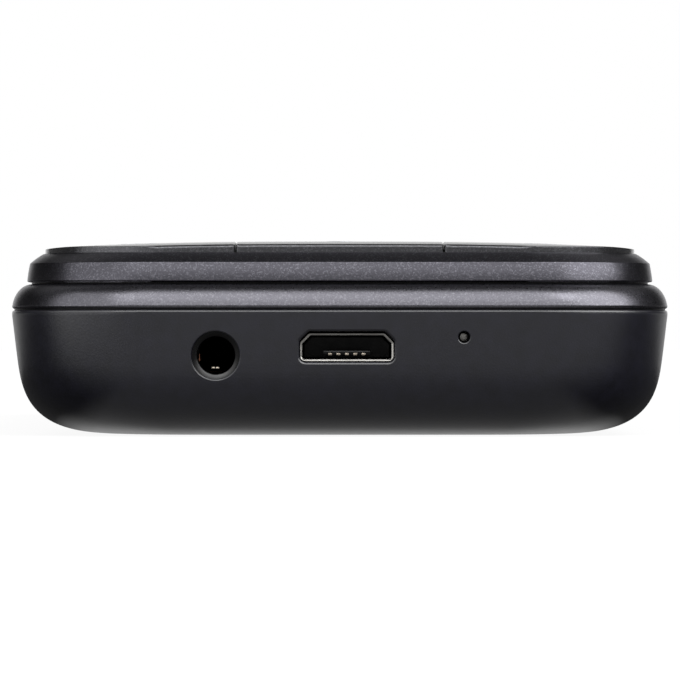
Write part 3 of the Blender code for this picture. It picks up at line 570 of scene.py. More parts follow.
# Shrunk polymer film over the cell: dull grey with long soft ripples.
cellFilm = mottled("shrunk_film", ("4b4e53", "565a5f"), 3.0, (1.0, 0.36, 0.48), (2.2, 0.05),
                   stretch=(1, 0.35, 1), evenRoughness=True, IOR=1.5, Specular_IOR_Level=0.45)
# Coated optical glass over black: very smooth, with a faint violet coating.
lensGlass = mottled("coated_glass", ("07070b", "101018"), 2.5, (1.5, 0.03, 0.06), IOR=1.52, Coat_Weight=1.0,
                    Coat_Roughness=0.01, Coat_Tint=linearColour("b9a8ff"))
whiteInk = printedInk("white_ink", "b9bcc2", "d3d6db")
greenInk = printedInk("green_ink", "1f9c4a", "2cb75b")
redInk = printedInk("red_ink", "b3262a", "cf3336")
print("finishes made")

# ---- rear cover
rearCover = {
    "height": 9.87,
    "rim": 0.4,
    "wall": 1.2,
    "draft": 0.115,
    "turnWidth": 9.0,
    "turnHeight": 6.8,
    "turnPower": 3.35,
    "turnSteps": 30,
    "edge": 0.19,
    "jackEdge": 0.13,
    "usbEdge": 0.22,
    "micEdge": 0.1,
    "ribDepth": 0.7,
    "ribLength": 6.0,
    "ribHeight": 1.6,
    "ribPlace": 0.42,
    "ribRoot": 0.2,
    "ribSoft": 0.12,
    "holeDepth": 3.2,
}

# ---- sockets in the end face
sockets = {
    "jackX": -9.65,
    "jackZ": 6.31,
    "jackMouth": 1.92,
    "usbX": 0.55,
    "usbZ": 6.945,
    "usbHalfWidth": 3.65,
    "usbHalfHeight": 1.095,
    "usbChamfer": 0.7,
    "usbMouthGap": 0.02,
    "usbMouthTall": 0.07,
    "usbMouthRise": 0.04,
    "usbRounding": 0.32,
    "usbWall": 0.18,
    "micX": 9.65,
    "micZ": 7.74,
    "micHole": 0.5,
}

speaker = {
    "x": 8.5,
    "y": 44.0,
    "slots": 5,
    "slotWidth": 9.5,
    "slotDepth": 0.8,
    "slotPitch": 1.7,
}

camera = {
    "x": -11.0,
    "y": 46.0,
    "window": 3.5,
    "thickness": 0.9,
    "gap": 0.15,
}


def coverOuter():
    slopeTop = rearCover["height"] - rearCover["rim"]
    points = []
    for across, up in reversed(superQuarter(rearCover["turnSteps"], rearCover["turnPower"])):
        height = rearCover["turnHeight"] * (1 - up)
        slope = rearCover["draft"] * (slopeTop - height)
        points.append((rearCover["turnWidth"] * (1 - across) + slope, height))
    return points


# The end face's distance inside the widest line at a height
def coverInset(height):
    points = coverOuter() + [(0, rearCover["height"] - rearCover["rim"]), (0, rearCover["height"])]
    for (firstInset, low), (lastInset, high) in zip(points, points[1:]):
        if low <= height <= high:
            return firstInset + (lastInset - firstInset) * (height - low) / (high - low)
    return 0


def coverInner():
    outer = coverOuter() + [(0, rearCover["height"] - rearCover["rim"])]
    points = []
    for at, (inset, height) in enumerate(outer):
        before = outer[max(at - 1, 0)]
        after = outer[min(at + 1, len(outer) - 1)]
        run = Vector((before[0] - after[0], after[1] - before[1])).normalized()
        if at == 0:
            run = Vector((1, 0))
        points.append((inset + rearCover["wall"] * run.y, height + rearCover["wall"] * run.x))
    points[-1] = (rearCover["wall"], rearCover["height"] - rearCover["rim"])
    return points


# A cutter that opens a hole through the end face with a rounded edge that follows the face
def faceCutter(name, outlineAt, edge, depth):
    steps = [(-1.0, 1.0 + math.sqrt(0.5)), (-0.3, 1.25)] + quarter(12, 26, 42, 58, 74, 90)
    face = -body["halfLength"]
    # The first and last rings are flat, so that the caps are.
    rings = [[(x, face - 2, z) for x, z in outlineAt(2 * edge)]]
    for sink, spread in steps:
        rings.append([(x, face + coverInset(z) + sink * edge, z) for x, z in outlineAt(spread * edge)])
    rings.append([(x, face + depth, z) for x, z in outlineAt(0)])
    return newPiece(name, skin(rings))


def roundHole(x, z, radius, sides):
    return lambda spread: [(x + first, z + second) for first, second in circle(radius + spread, sides)]


def usbOutline(grown, tall=0.0):
    halfX = sockets["usbHalfWidth"] + grown
    halfZ = sockets["usbHalfHeight"] + grown + tall
    # A 45 degree chamfer of an offset outline grows by 0.41 of the offset.
    chamfer = sockets["usbChamfer"] + grown * 0.41
    soft = max(sockets["usbRounding"] + grown, 0.04)
    corners = [
        (-halfX, -halfZ, soft * 1.3),
        (halfX, -halfZ, soft * 1.3),
        (halfX, halfZ - chamfer, soft),
        (halfX - chamfer, halfZ, soft),
        (chamfer - halfX, halfZ, soft),
        (-halfX, halfZ - chamfer, soft),
    ]
    return [(sockets["usbX"] + x, sockets["usbZ"] + z) for x, z in roundedOutline(corners, 5)]


def slotOutline(x, y, width, depth, steps=8):
    half = depth / 2
    soft = half * 0.98
    return roundedOutline([(x - width / 2, y - half, soft), (x + width / 2, y - half, soft),
                           (x + width / 2, y + half, soft), (x - width / 2, y + half, soft)], steps)


# A cutter up through the back face with a rounded edge
def backCutter(outlineAt, edge, depth):
    rings = [[(x, y, sink * edge) for x, y in outlineAt(spread * edge)]
             for sink, spread in [(-0.55, 1.9), (-0.1, 1.5)] + quarter(20, 42, 66, 90)]
    rings.append([(x, y, depth) for x, y in outlineAt(0)])
    return skin(rings)


def makeRearCover():
    spine = body["halfWidth"]
    top = rearCover["height"]
    edge = rearCover["edge"]
    wall = rearCover["wall"]
    corner = [(edge * across, top - edge * down) for across, down in quarter(0, 22, 45, 67, 90)]
    innerCorner = [(wall - edge * across, top - edge * down) for across, down in quarter(90, 45, 0)]
    profile = [(spine, 0)] + coverOuter() + [(0, top - rearCover["rim"])] + corner + innerCorner
    cover = shell("rear_cover_shell", profile + coverInner()[::-1] + [(spine, wall)], grainedCover)
    root = rearCover["ribRoot"]
    half = (rearCover["ribDepth"] / 2 + root, rearCover["ribLength"] / 2)
    ribTop = top - rearCover["rim"] - body["fitGap"]
    ribs = []
    for side in (-1, 1):
        for way in (-1, 1):
            x = side * (spine - wall - rearCover["ribDepth"] / 2 + root)
            y = way * rearCover["ribPlace"] * body["halfLength"]
            ribs.append(blockPiece("rib", (x - half[0], y - half[1], ribTop - rearCover["ribHeight"]),
                                   (x + half[0], y + half[1], ribTop), rearCover["ribSoft"]))
    fuse(cover, *ribs)
    depth = rearCover["holeDepth"]
    jackHole = roundHole(sockets["jackX"], sockets["jackZ"], sockets["jackMouth"] - 0.06, 72)
    micHole = roundHole(sockets["micX"], sockets["micZ"], sockets["micHole"] - 0.05, 36)

    def usbHole(spread):
        outline = usbOutline(sockets["usbMouthGap"] + spread, sockets["usbMouthTall"])
        return [(x, z + sockets["usbMouthRise"]) for x, z in outline]

    def cameraHole(spread):
        outline = circle(camera["window"] + camera["gap"] + spread, 64)
        return [(camera["x"] + x, camera["y"] + y) for x, y in outline]

    def soundSlot(spread):
        return slotOutline(0, 0, speaker["slotWidth"] + 2 * spread, speaker["slotDepth"] + 2 * spread)

    slots = copies("speaker_slots", backCutter(soundSlot, 0.14, wall + 1), 1, speaker["slots"],
                   0, speaker["slotPitch"], (speaker["x"], speaker["y"], 0))
    carve(cover, faceCutter("jack_hole", jackHole, rearCover["jackEdge"], depth),
          faceCutter("usb_hole", usbHole, rearCover["usbEdge"], depth),
          faceCutter("mic_hole", micHole, rearCover["micEdge"], depth),
          newPiece("camera_hole", backCutter(cameraHole, 0.2, wall + 1)), slots)
    place(cover, "rear_cover", "graphite_plastic", "rear_cover", material=grainedCover)


makeRearCover()
print("rear cover made")


# ---- camera window: a black glass disc in a turned metal ring with a small lens dome
def makeCameraWindow():
    radius = camera["window"]
    top = camera["thickness"]
    ringProfile = [(radius - 0.62, 0.1), (radius - 0.55, 0.04), (radius - 0.3, 0.0), (radius - 0.12, 0.0),
                   (radius - 0.03, 0.04), (radius, 0.14), (radius, top), (radius - 0.62, top)]
    rings = [[(camera["x"] + x, camera["y"] + y, height) for x, y in circle(size, 72)]
             for size, height in ringProfile]
    ring = newPiece("camera_ring", skin(rings, closedLoop=True))
    place(ring, "rear_cover", "socket_steel", material=platedSteel)
    glassProfile = [(0.9, 0.46), (1.15, 0.3), (1.5, 0.22), (radius - 0.7, 0.2), (radius - 0.64, 0.24),
                    (radius - 0.64, top - 0.02)]
    glass = newPiece("camera_glass", turned(glassProfile, (camera["x"], camera["y"], 0), sides=72))
    place(glass, "rear_cover", "window_black", "camera_window", material=lensGlass)


makeCameraWindow()
print("camera window made")

# ---- front housing: the round shoulder round the board
housing = {
    "bottom": 9.96,
    "rise": 1.97,
    "bulge": 1.45,
    "bulgePower": 1.9,
    "steps": 26,
    "edge": 0.24,
    "plate": 11.8,
    "rimInset": 2.5,
    "web": 0.9,
    "skirtInset": 3.05,
    "skirtWall": 1.0,
    "skirtLow": 9.64,
    "bossRadius": 1.6,
    "bossX": 21.15,
    "bossPitchY": 48.0,
    "screwHole": 0.9,
    "postHole": 1.5,
    "navPostHole": 1.3,
    "boardUnder": 8.34,
}

keypad = {
    "half": 23.3,
    "spread": 0.2,
    "start": -58.25,
    "column": 16.26,
    "row": 9.7,
    "navDepth": 18.2,
    "windowEnd": 58.25,
    "capUnder": 13.45,
    "postUnder": 10.44,
    "postRadius": 1.2,
    "navPostRadius": 0.8,
    "navPostEdge": 1.2,
    "cornerRadius": 0.12,
    "crown": 0.53,
    "crownPower": 2.8,
    "endFall": 0.28,
    "endFallLength": 4.2,
    "endFallPower": 2.3,
    "lower": 0.08,
    "edge": 0.05,
    "endEdge": 0.22,
    "selectRadius": 4.5,
    "inkRise": 0.02,
    "inkRoot": 0.05,
    "cutPitch": 1.1,
    "endCuts": 10,
    "levelCuts": 8,
    "levelPitch": 0.1,
    "levelLow": 1.1,
}
navStart = keypad["start"] + 4 * keypad["row"]
navEnd = navStart + keypad["navDepth"]
navMiddle = (navStart + navEnd) / 2
columnEdge = keypad["column"] / 2

numberRows = (
    ("key_star", "key_0", "key_hash"),
    ("key_7", "key_8", "key_9"),
    ("key_4", "key_5", "key_6"),
    ("key_1", "key_2", "key_3"),
)
sideRows = (("call_key", "end_key"), ("soft_key_left", "soft_key_right"))


display = {
    "half": 19.25,
    "start": -0.55,
    "split": 51.75,
    "earpieceHalf": 6.3,
    "earpieceEnd": 56.95,
    "slotY": 54.35,
    "slotWidth": 9.5,
    "slotDepth": 1.1,
    "paneUnder": 13.25,
    "viewHalfWidth": 17.15,
    "viewHalfLength": 24.05,
    "viewMiddle": 25.6,
    "wirePitch": 0.2,
    "wireRadius": 0.045,
}


# Cells of the keys: name, edges in X and Y, and the corners that follow the body's round corners
def keyCells():
    half = body["seamGap"] / 2
    side = keypad["half"] + keypad["spread"]
    columns = ((-side, -columnEdge - half), (half - columnEdge, columnEdge - half), (columnEdge + half, side))
    cells = []
    for row, names in enumerate(numberRows):
        low = keypad["start"] + row * keypad["row"] + (half if row else -keypad["spread"])
        high = keypad["start"] + (row + 1) * keypad["row"] - half
        for column, name in enumerate(names):
            outer = ((column == 2, False),) if row == 0 and column != 1 else ()
            cells.append((name, *columns[column], low, high, outer))
    for row, names in enumerate(sideRows):
        low = navStart + row * keypad["navDepth"] / 2 + half
        high = navStart + (row + 1) * keypad["navDepth"] / 2 - half
        for column, name in ((0, names[0]), (2, names[1])):
            cells.append((name, *columns[column], low, high, ()))
    return cells


def navPosts():
    reachX = columnEdge - keypad["navPostEdge"]
    reachY = keypad["navDepth"] / 2 - keypad["navPostEdge"]
    return ((reachX, navMiddle), (-reachX, navMiddle), (0, navMiddle + reachY), (0, navMiddle - reachY))


def postPlaces():
    return [(0, navMiddle)] + [((lowX + highX) / 2, (lowY + highY) / 2)
                               for _, lowX, highX, lowY, highY, _ in keyCells()]


def postHoles(name, low, high):
    holes = [(housing["postHole"], spot) for spot in postPlaces()]
    holes += [(housing["navPostHole"], spot) for spot in navPosts()]
    return joined(name, [newPiece(name, turned([(radius, low), (radius, high)], (*spot, 0)))
                         for radius, spot in holes])


# The same shape at all six bosses
def atBosses(name, bm, material=None):
    return copies(name, bm, 2, 3, 2 * housing["bossX"], housing["bossPitchY"], (0, 0, 0), material)


def makeFrontHousing():
    spine = body["halfWidth"]
    bottom = housing["bottom"]
    top = bottom + housing["rise"]
    plate = housing["plate"]
    under = plate - housing["web"]
    skirtEnd = housing["skirtInset"] + housing["skirtWall"]
    edge = housing["edge"]
    outer = [(housing["bulge"] * (1 - across), bottom + housing["rise"] * up)
             for across, up in superQuarter(housing["steps"], housing["bulgePower"])
             if up * housing["rise"] > edge]
    corner = [(edge * across, bottom + edge * up) for across, up in quarter(90, 75, 60, 45, 30, 15, 0)]
    profile = [(spine, under), (skirtEnd, under), (skirtEnd, housing["skirtLow"]),
               (housing["skirtInset"], housing["skirtLow"]), (housing["skirtInset"], bottom)]
    shape = shell("front_housing_shell", profile + corner + outer
                  + [(housing["rimInset"], top), (housing["rimInset"] + 0.02, plate), (spine, plate)])
    radius = housing["bossRadius"]
    foot = housing["boardUnder"]
    boss = turned([(radius - 0.1, foot), (radius, foot + 0.1), (radius, under + 0.3)], (0, 0, 0), sides=36)
    fuse(shape, atBosses("bosses", boss))
    bore = turned([(housing["screwHole"], foot - 1), (housing["screwHole"], under)], (0, 0, 0), sides=28)
    opening = blockPiece("display_opening", (-display["half"], display["start"], under - 1),
                         (display["half"], display["split"] + 0.15, plate + 1))
    sound = blockPiece("earpiece_opening", (-display["earpieceHalf"], display["split"], under - 1),
                       (display["earpieceHalf"], display["earpieceEnd"], plate + 1))
    carve(shape, atBosses("boss_bores", bore), postHoles("post_holes", under - 1, plate + 1), opening, sound)
    place(shape, "phone", "graphite_plastic", "front_housing", material=housingLacquer)


makeFrontHousing()
print("front housing made")

# ---- black rings in both parting lines: painted shade that darkens the gaps, and a filler that closes the view between the shells
gapShadeRings = {
    "lower": ((0.18, 9.885), (0.9, 9.98)),
    "upper": ((1.5, 11.96), (2.2, 12.11)),
}


def makeGapShades():
    for (inset, low), (depth, high) in gapShadeRings.values():
        # Each ring is a black filler that stands in for the shade in its gap.
        ring = shell("parting_gap_shade", [(inset, low), (depth, low), (depth, high), (inset, high), (inset, low)])
        place(ring, "phone", "seal_rubber", material=polymer)


makeGapShades()
print("seals made")

# ---- bezel: a ring with a crisp edge between its wall and its sloping shoulder
bezel = {
    "under": 12.125,
    "top": 14.35,
    "inset": 1.16,
    "crease": (1.37, 13.57),
    "lip": 2.4,
    "opening": 2.45,
    "wallTurn": (85, 79),
    "shoulderTurn": (43, 31),
    "skirtInset": 1.5,
    "skirtDrop": 0.12,
    "ledge": 0.85,
    "ledgeReach": 0.3,
}


def makeFrontBezel():
    under = bezel["under"]
    top = bezel["top"]
    wall = curve((bezel["inset"], under + 0.06), bezel["crease"], *bezel["wallTurn"], 12)
    shoulder = curve(bezel["crease"], (bezel["lip"], top), *bezel["shoulderTurn"], 10)
    # Close points on both sides keep the crease crisp without splitting the surface.
    creaseX, creaseZ = bezel["crease"]
    crisp = [(creaseX - 0.008, creaseZ - 0.022), (creaseX, creaseZ), (creaseX + 0.018, creaseZ + 0.018)]
    skirt = under - bezel["skirtDrop"]
    profile = [(bezel["opening"] - 0.02, skirt), (bezel["skirtInset"], skirt), (bezel["skirtInset"], under),
               (bezel["inset"] + 0.06, under)] + wall[:-1] + crisp + shoulder[1:]
    profile += [(bezel["opening"] - 0.04, top), (bezel["opening"] - 0.02, top - 0.04)]
    # The ring closes on itself: its last line is its first
    shape = shell("front_bezel_ring", profile + [profile[0]])
    spine = body["halfWidth"]
    reach = bezel["opening"] - bezel["ledgeReach"]
    high = under + bezel["ledge"]
    ledge = shell("bezel_ledge", [(spine, under), (reach, under), (reach, high), (spine, high)])

    def opening(name, halfX, lowY, highY):
        return blockPiece(name, (-halfX, lowY, under - 2), (halfX, highY, under + 3))

    viewLow = display["viewMiddle"] - display["viewHalfLength"]
    soundLow = display["slotY"] - display["slotDepth"] / 2
    carve(ledge, opening("near_half", 40, -70, navEnd),
          opening("view_opening", display["viewHalfWidth"], viewLow, viewLow + 2 * display["viewHalfLength"]),
          opening("sound_slot", display["slotWidth"] / 2, soundLow, soundLow + display["slotDepth"]))
    fuse(shape, ledge)
    place(shape, "phone", "flake_paint", "front_bezel", material=bezelLacquer)


makeFrontBezel()
print("bezel made")


# ---- keys
# The crowned surface that all keys and the window share
def faceHeight(x, y):
    crown = keypad["crown"] * (abs(x) / keypad["half"]) ** keypad["crownPower"]
    share = max((keypad["start"] + keypad["endFallLength"] - y) / keypad["endFallLength"], 0)
    fall = keypad["endFall"] * min(share, 1) ** keypad["endFallPower"]
    return body["faceTop"] - keypad["lower"] - crown - fall


# A cap under the crowned surface, with soft rims. Corners in outer, as (right, far), follow the body.
def capShape(lowX, highX, lowY, highY, lowZ, outer=(), pitch=keypad["cutPitch"]):
    bm = boxShape((lowX, lowY, lowZ), (highX, highY, body["faceTop"]))
    middle = ((lowX + highX) / 2, (lowY + highY) / 2)
    upright = [edge for edge in bm.edges if abs(edge.verts[0].co.z - edge.verts[1].co.z) > 0.5]

    def atOuter(edge):
        spot = edge.verts[0].co
        return (spot.x > middle[0], spot.y > middle[1]) in outer

    followed = [edge for edge in upright if atOuter(edge)]
    plain = [edge for edge in upright if edge not in followed]
    if followed:
        radius = body["cornerRadius"] * (keypad["half"] + keypad["spread"]) / body["halfWidth"]
        soften(bm, followed, radius, 26)
    soften(bm, plain, keypad["cornerRadius"], 5)
    # Cuts let the flat top follow the crown and the fall at the end.
    clear = keypad["cornerRadius"] + 0.05
    at = math.ceil((lowX + clear) / pitch)
    while at * pitch < highX - clear:
        cutAlong(bm, (at * pitch, 0, 0), (1, 0, 0))
        at += 1
    for step in range(1, keypad["endCuts"] + 1):
        y = keypad["start"] + keypad["endFallLength"] * step / keypad["endCuts"]
        if lowY + clear < y < highY - clear:
            cutAlong(bm, (0, y, 0), (0, 1, 0))
    middleZ = (lowZ + body["faceTop"]) / 2
    for vert in bm.verts:
        if vert.co.z > middleZ:
            vert.co.z = faceHeight(vert.co.x, vert.co.y)
    bm.normal_update()
    limit = keypad["start"] - keypad["spread"] + 0.02

    # An edge between a wall and the top, for the wider turn only at the socket end
    def onRim(edge, anywhere):
        if len(edge.link_faces) != 2 or edge.verts[0].co.z <= middleZ or abs(edge.calc_face_angle(0)) <= 1:
            return False
        tilts = [face.normal.z for face in edge.link_faces]
        atEnd = max(vert.co.y for vert in edge.verts) < limit
        return abs(min(tilts)) < 0.5 < max(tilts) and (anywhere or atEnd)

    for radius, steps, anywhere in ((keypad["endEdge"], 6, False), (keypad["edge"], 3, True)):
        soften(bm, [edge for edge in bm.edges if onRim(edge, anywhere)], radius, steps)
        bm.normal_update()
    # Level cuts under the rim keep its turn from shading the wall below.
    for step in range(keypad["levelCuts"]):
        level = body["faceTop"] - keypad["levelLow"] + keypad["levelPitch"] * step
        cutAlong(bm, (0, 0, level), (0, 0, 1))
    bm.normal_update()
    return bm


def postPiece(x, y, radius):
    low = keypad["postUnder"]
    high = keypad["capUnder"] + 0.3
    profile = [(radius - 0.12, low), (radius, low + 0.12), (radius, high)]
    return newPiece("post", turned(profile, (x, y, 0), sides=32))


def makeKeys():
    for name, lowX, highX, lowY, highY, outer in keyCells():
        cap = newPiece(name + "_cap", capShape(lowX, highX, lowY, highY, keypad["capUnder"], outer))
        fuse(cap, postPiece((lowX + highX) / 2, (lowY + highY) / 2, keypad["postRadius"]))
        place(cap, name, "flake_paint", name, material=keyLacquer)
    edge = columnEdge - body["seamGap"] / 2
    ring = newPiece("nav_ring_cap", capShape(-edge, edge, navStart + body["seamGap"] / 2,
                                             navEnd - body["seamGap"] / 2, keypad["capUnder"]))
    fuse(ring, joined("ring_posts", [postPiece(x, y, keypad["navPostRadius"]) for x, y in navPosts()]))
    hole = keypad["selectRadius"] + body["fitGap"]
    top = faceHeight(0, navMiddle)
    flare = [(hole, keypad["capUnder"] - 1), (hole, top - 0.14), (hole + 0.02, top - 0.07),
             (hole + 0.07, top - 0.02), (hole + 0.14, top), (hole + 0.2, top + 0.3)]
    carve(ring, newPiece("select_hole", turned(flare, (0, navMiddle, 0), sides=96)))
    place(ring, "nav_ring", "flake_paint", "nav_ring", material=keyLacquer)
    radius = keypad["selectRadius"]
    dish = [(radius, keypad["capUnder"]), (radius, top - 0.16), (radius - 0.03, top - 0.07),
            (radius - 0.09, top - 0.02), (radius - 0.2, top), (radius - 0.5, top - 0.015)]
    dish += [(radius * share, top - 0.04 - 0.16 * (1 - share * share)) for share in (0.75, 0.5, 0.25, 0.06)]
    select = newPiece("nav_select_cap", turned(dish, (0, navMiddle, 0), sides=96))
    fuse(select, postPiece(0, navMiddle, keypad["postRadius"]))
    place(select, "nav_select", "flake_paint", "nav_select", material=keyLacquer)


makeKeys()
print("keys made")


# ---- legends: plain digits, star, hash, handsets and dashes in raised ink
legend = {
    "digitSize": 4.7,
    "dashWidth": 3.4,
    "dashDepth": 0.55,
    "handsetRadius": 2.3,
    "handsetThickness": 0.62,
    "handsetEnd": (0.5, 0.62),
    "handsetEndSoft": 0.22,
    "starSize": 7.0,
    "hashSize": 4.4,
}


def flatPiece(name, points):
    return newPiece(name, skin([[(x, y, -1) for x, y in points], [(x, y, 1) for x, y in points]]))


def textPiece(text, size):
    words = bpy.data.curves.new("legend_text", "FONT")
    words.body = text
    words.size = size
    words.extrude = 0.5
    words.resolution_u = 4
    holder = addObject("legend_text", words)
    mesh = evaluatedMesh(holder)
    bpy.data.objects.remove(holder, do_unlink=True)
    bm = bmesh.new()
    bm.from_mesh(mesh)
    bpy.data.meshes.remove(mesh)
    outwards(bm)
    across, along = ([vert.co[axis] for vert in bm.verts] for axis in (0, 1))
    middle = Vector(((min(across) + max(across)) / 2, (min(along) + max(along)) / 2, 0))
    bmesh.ops.translate(bm, vec=-middle, verts=bm.verts)
    return newPiece("legend", bm)


# A handset: a thick arc between two round-cornered ends
def handsetPiece(turn):
    radius = legend["handsetRadius"]
    half = legend["handsetThickness"] / 2
    angles = [math.radians(38 + 104 * step / 20) for step in range(21)]
    outside = [((radius + half) * math.cos(a), (radius + half) * math.sin(a)) for a in angles]
    inside = [((radius - half) * math.cos(a), (radius - half) * math.sin(a)) for a in reversed(angles)]
    handle = flatPiece("legend", outside + inside)
    halfX, halfY = legend["handsetEnd"]
    soft = legend["handsetEndSoft"]
    outline = roundedOutline([(-halfX, -halfY, soft), (halfX, -halfY, soft), (halfX, halfY, soft),
                              (-halfX, halfY, soft)], 5)
    ends = []
    for tilt in (angles[0] + 0.06, angles[-1] - 0.06):
        spots = []
        for along, across in outline:
            reach = radius - 0.14 + along
            spots.append((reach * math.cos(tilt) - across * math.sin(tilt),
                          reach * math.sin(tilt) + across * math.cos(tilt)))
        ends.append(flatPiece("legend_end", spots))
    fuse(handle, *ends)
    for vertex in handle.data.vertices:
        x, y = vertex.co.x, vertex.co.y - radius * 0.8
        vertex.co.x = x * math.cos(turn) - y * math.sin(turn)
        vertex.co.y = x * math.sin(turn) + y * math.cos(turn)
    return handle


def dashPiece():
    return flatPiece("legend", slotOutline(0, 0, legend["dashWidth"], legend["dashDepth"], 6))


def makeLegends():
    marks = {"key_star": ("*", legend["starSize"]), "key_hash": ("#", legend["hashSize"])}
    for name, lowX, highX, lowY, highY, _ in keyCells():
        ink = whiteInk
        if name == "call_key":
            mark, ink = handsetPiece(math.radians(135)), greenInk
        elif name == "end_key":
            mark, ink = handsetPiece(0.0), redInk
        elif name.startswith("soft"):
            mark = dashPiece()
        else:
            mark = textPiece(*marks.get(name, (name[-1], legend["digitSize"])))
        x = (lowX + highX) / 2
        y = (lowY + highY) / 2
        for vertex in mark.data.vertices:
            top = vertex.co.z > 0
            vertex.co.x += x
            vertex.co.y += y
            vertex.co.z = (faceHeight(vertex.co.x, vertex.co.y)
                           + (keypad["inkRise"] if top else -keypad["inkRoot"]))
        mark.name = name + "_legend"
        place(mark, name, "flake_paint", material=ink)


makeLegends()
print("legends made")


# ---- display window and the earpiece mesh in its slot
def makeDisplayWindow():
    low = navEnd + body["seamGap"] / 2
    side = keypad["half"] + keypad["spread"]
    pane = newPiece("display_pane", capShape(-side, side, low, keypad["windowEnd"] + keypad["spread"],
                                             display["paneUnder"], ((False, True), (True, True)), 1.6))
    top = faceHeight(0, display["slotY"])
    rings = []
    for rise, spread in ((-3, 0), (-0.12, 0), (-0.05, 0.02), (-0.015, 0.06), (0, 0.12), (0.3, 0.2)):
        rings.append([(x, y, top + rise) for x, y in slotOutline(
            0, display["slotY"], display["slotWidth"] + 2 * spread, display["slotDepth"] + 2 * spread)])
    carve(pane, newPiece("slot_cutter", skin(rings)))
    place(pane, "phone", "window_black", "display_window", material=printedAcrylic())


# One wire of the woven mesh, bent over and under its neighbours
def wireShape(length, radius, pitch, along, phase):
    rings = []
    steps = max(int(length / pitch * 4), 4)
    for step in range(steps + 1):
        run = -length / 2 + length * step / steps
        lift = radius * 0.9 * math.cos(math.pi * run / pitch + phase)
        ring = []
        for first, second in circle(radius, 6):
            ring.append((first, run, lift + second) if along == "Y" else (run, first, lift + second))
        rings.append(ring)
    return skin(rings)


def makeEarpieceMesh():
    pitch = display["wirePitch"]
    radius = display["wireRadius"]
    level = faceHeight(0, display["slotY"]) - 0.4
    width = display["slotWidth"] - 2 * body["seamGap"]
    depth = display["slotDepth"] - 2 * body["seamGap"]
    across = int(width * 0.97 / pitch / 2)
    rows = int(depth / pitch / 2)
    wires = []
    for turn in (0, 1):
        offset = (turn - 0.5) * pitch
        wires.append(copies("cross_wires", wireShape(depth * 0.98, radius, pitch, "Y", turn * math.pi),
                            across, 1, 2 * pitch, 0, (offset, display["slotY"], level), platedSteel))
        wires.append(copies("long_wires", wireShape(width * 0.97, radius, pitch, "X", (1 - turn) * math.pi),
                            1, rows, 0, 2 * pitch, (0, display["slotY"] + offset, level), platedSteel))
    mesh = joined("earpiece_weave", wires)
    place(mesh, "phone", "socket_steel", material=platedSteel, crease=60)
    felt = flatPiece("earpiece_felt", slotOutline(0, display["slotY"], width, depth))
    for vertex in felt.data.vertices:
        vertex.co.z = level - 0.12 if vertex.co.z > 0 else level - 0.2
    place(felt, "phone", "inner_plastic", "earpiece_mesh", material=rubber)


makeDisplayWindow()
makeEarpieceMesh()
print("display window and earpiece mesh made")

# ---- headphone socket: a moulded block with a stepped bore and forked springs
jack = {
    "face": -58.35,
    "width": 6.4,
    "height": 4.6,
    "length": 11.5,
    "noseFace": -59.02,
    "noseRadius": 2.04,
    "funnel": 0.09,
    "bore": 1.47,
    "boreDepth": 11.2,
    "springFront": -57.6,
    "springRise": 0.93,
    "springBack": -51.9,
    "prongWidth": 0.27,
    "prongPitch": 0.33,
    "sheet": 0.15,
    "slant": 0.06,
    "leafFront": -58.1,
    "leafLength": 3.4,
}


# A strip of sheet metal that runs inwards through places given as (y, z), its front end cut at a slant
def stripPiece(name, x, width, thickness, spots):
    rings = []
    half = width / 2
    tall = thickness / 2
    for at, (y, z) in enumerate(spots):
        top = y + (0 if at else jack["slant"])
        rings.append([(x - half, y, z - tall), (x + half, y, z - tall), (x + half, top, z + tall),
                      (x - half, top, z + tall)])
    bm = skin(rings)
    soften(bm, bm.edges[:], 0.012)
    return newPiece(name, bm)


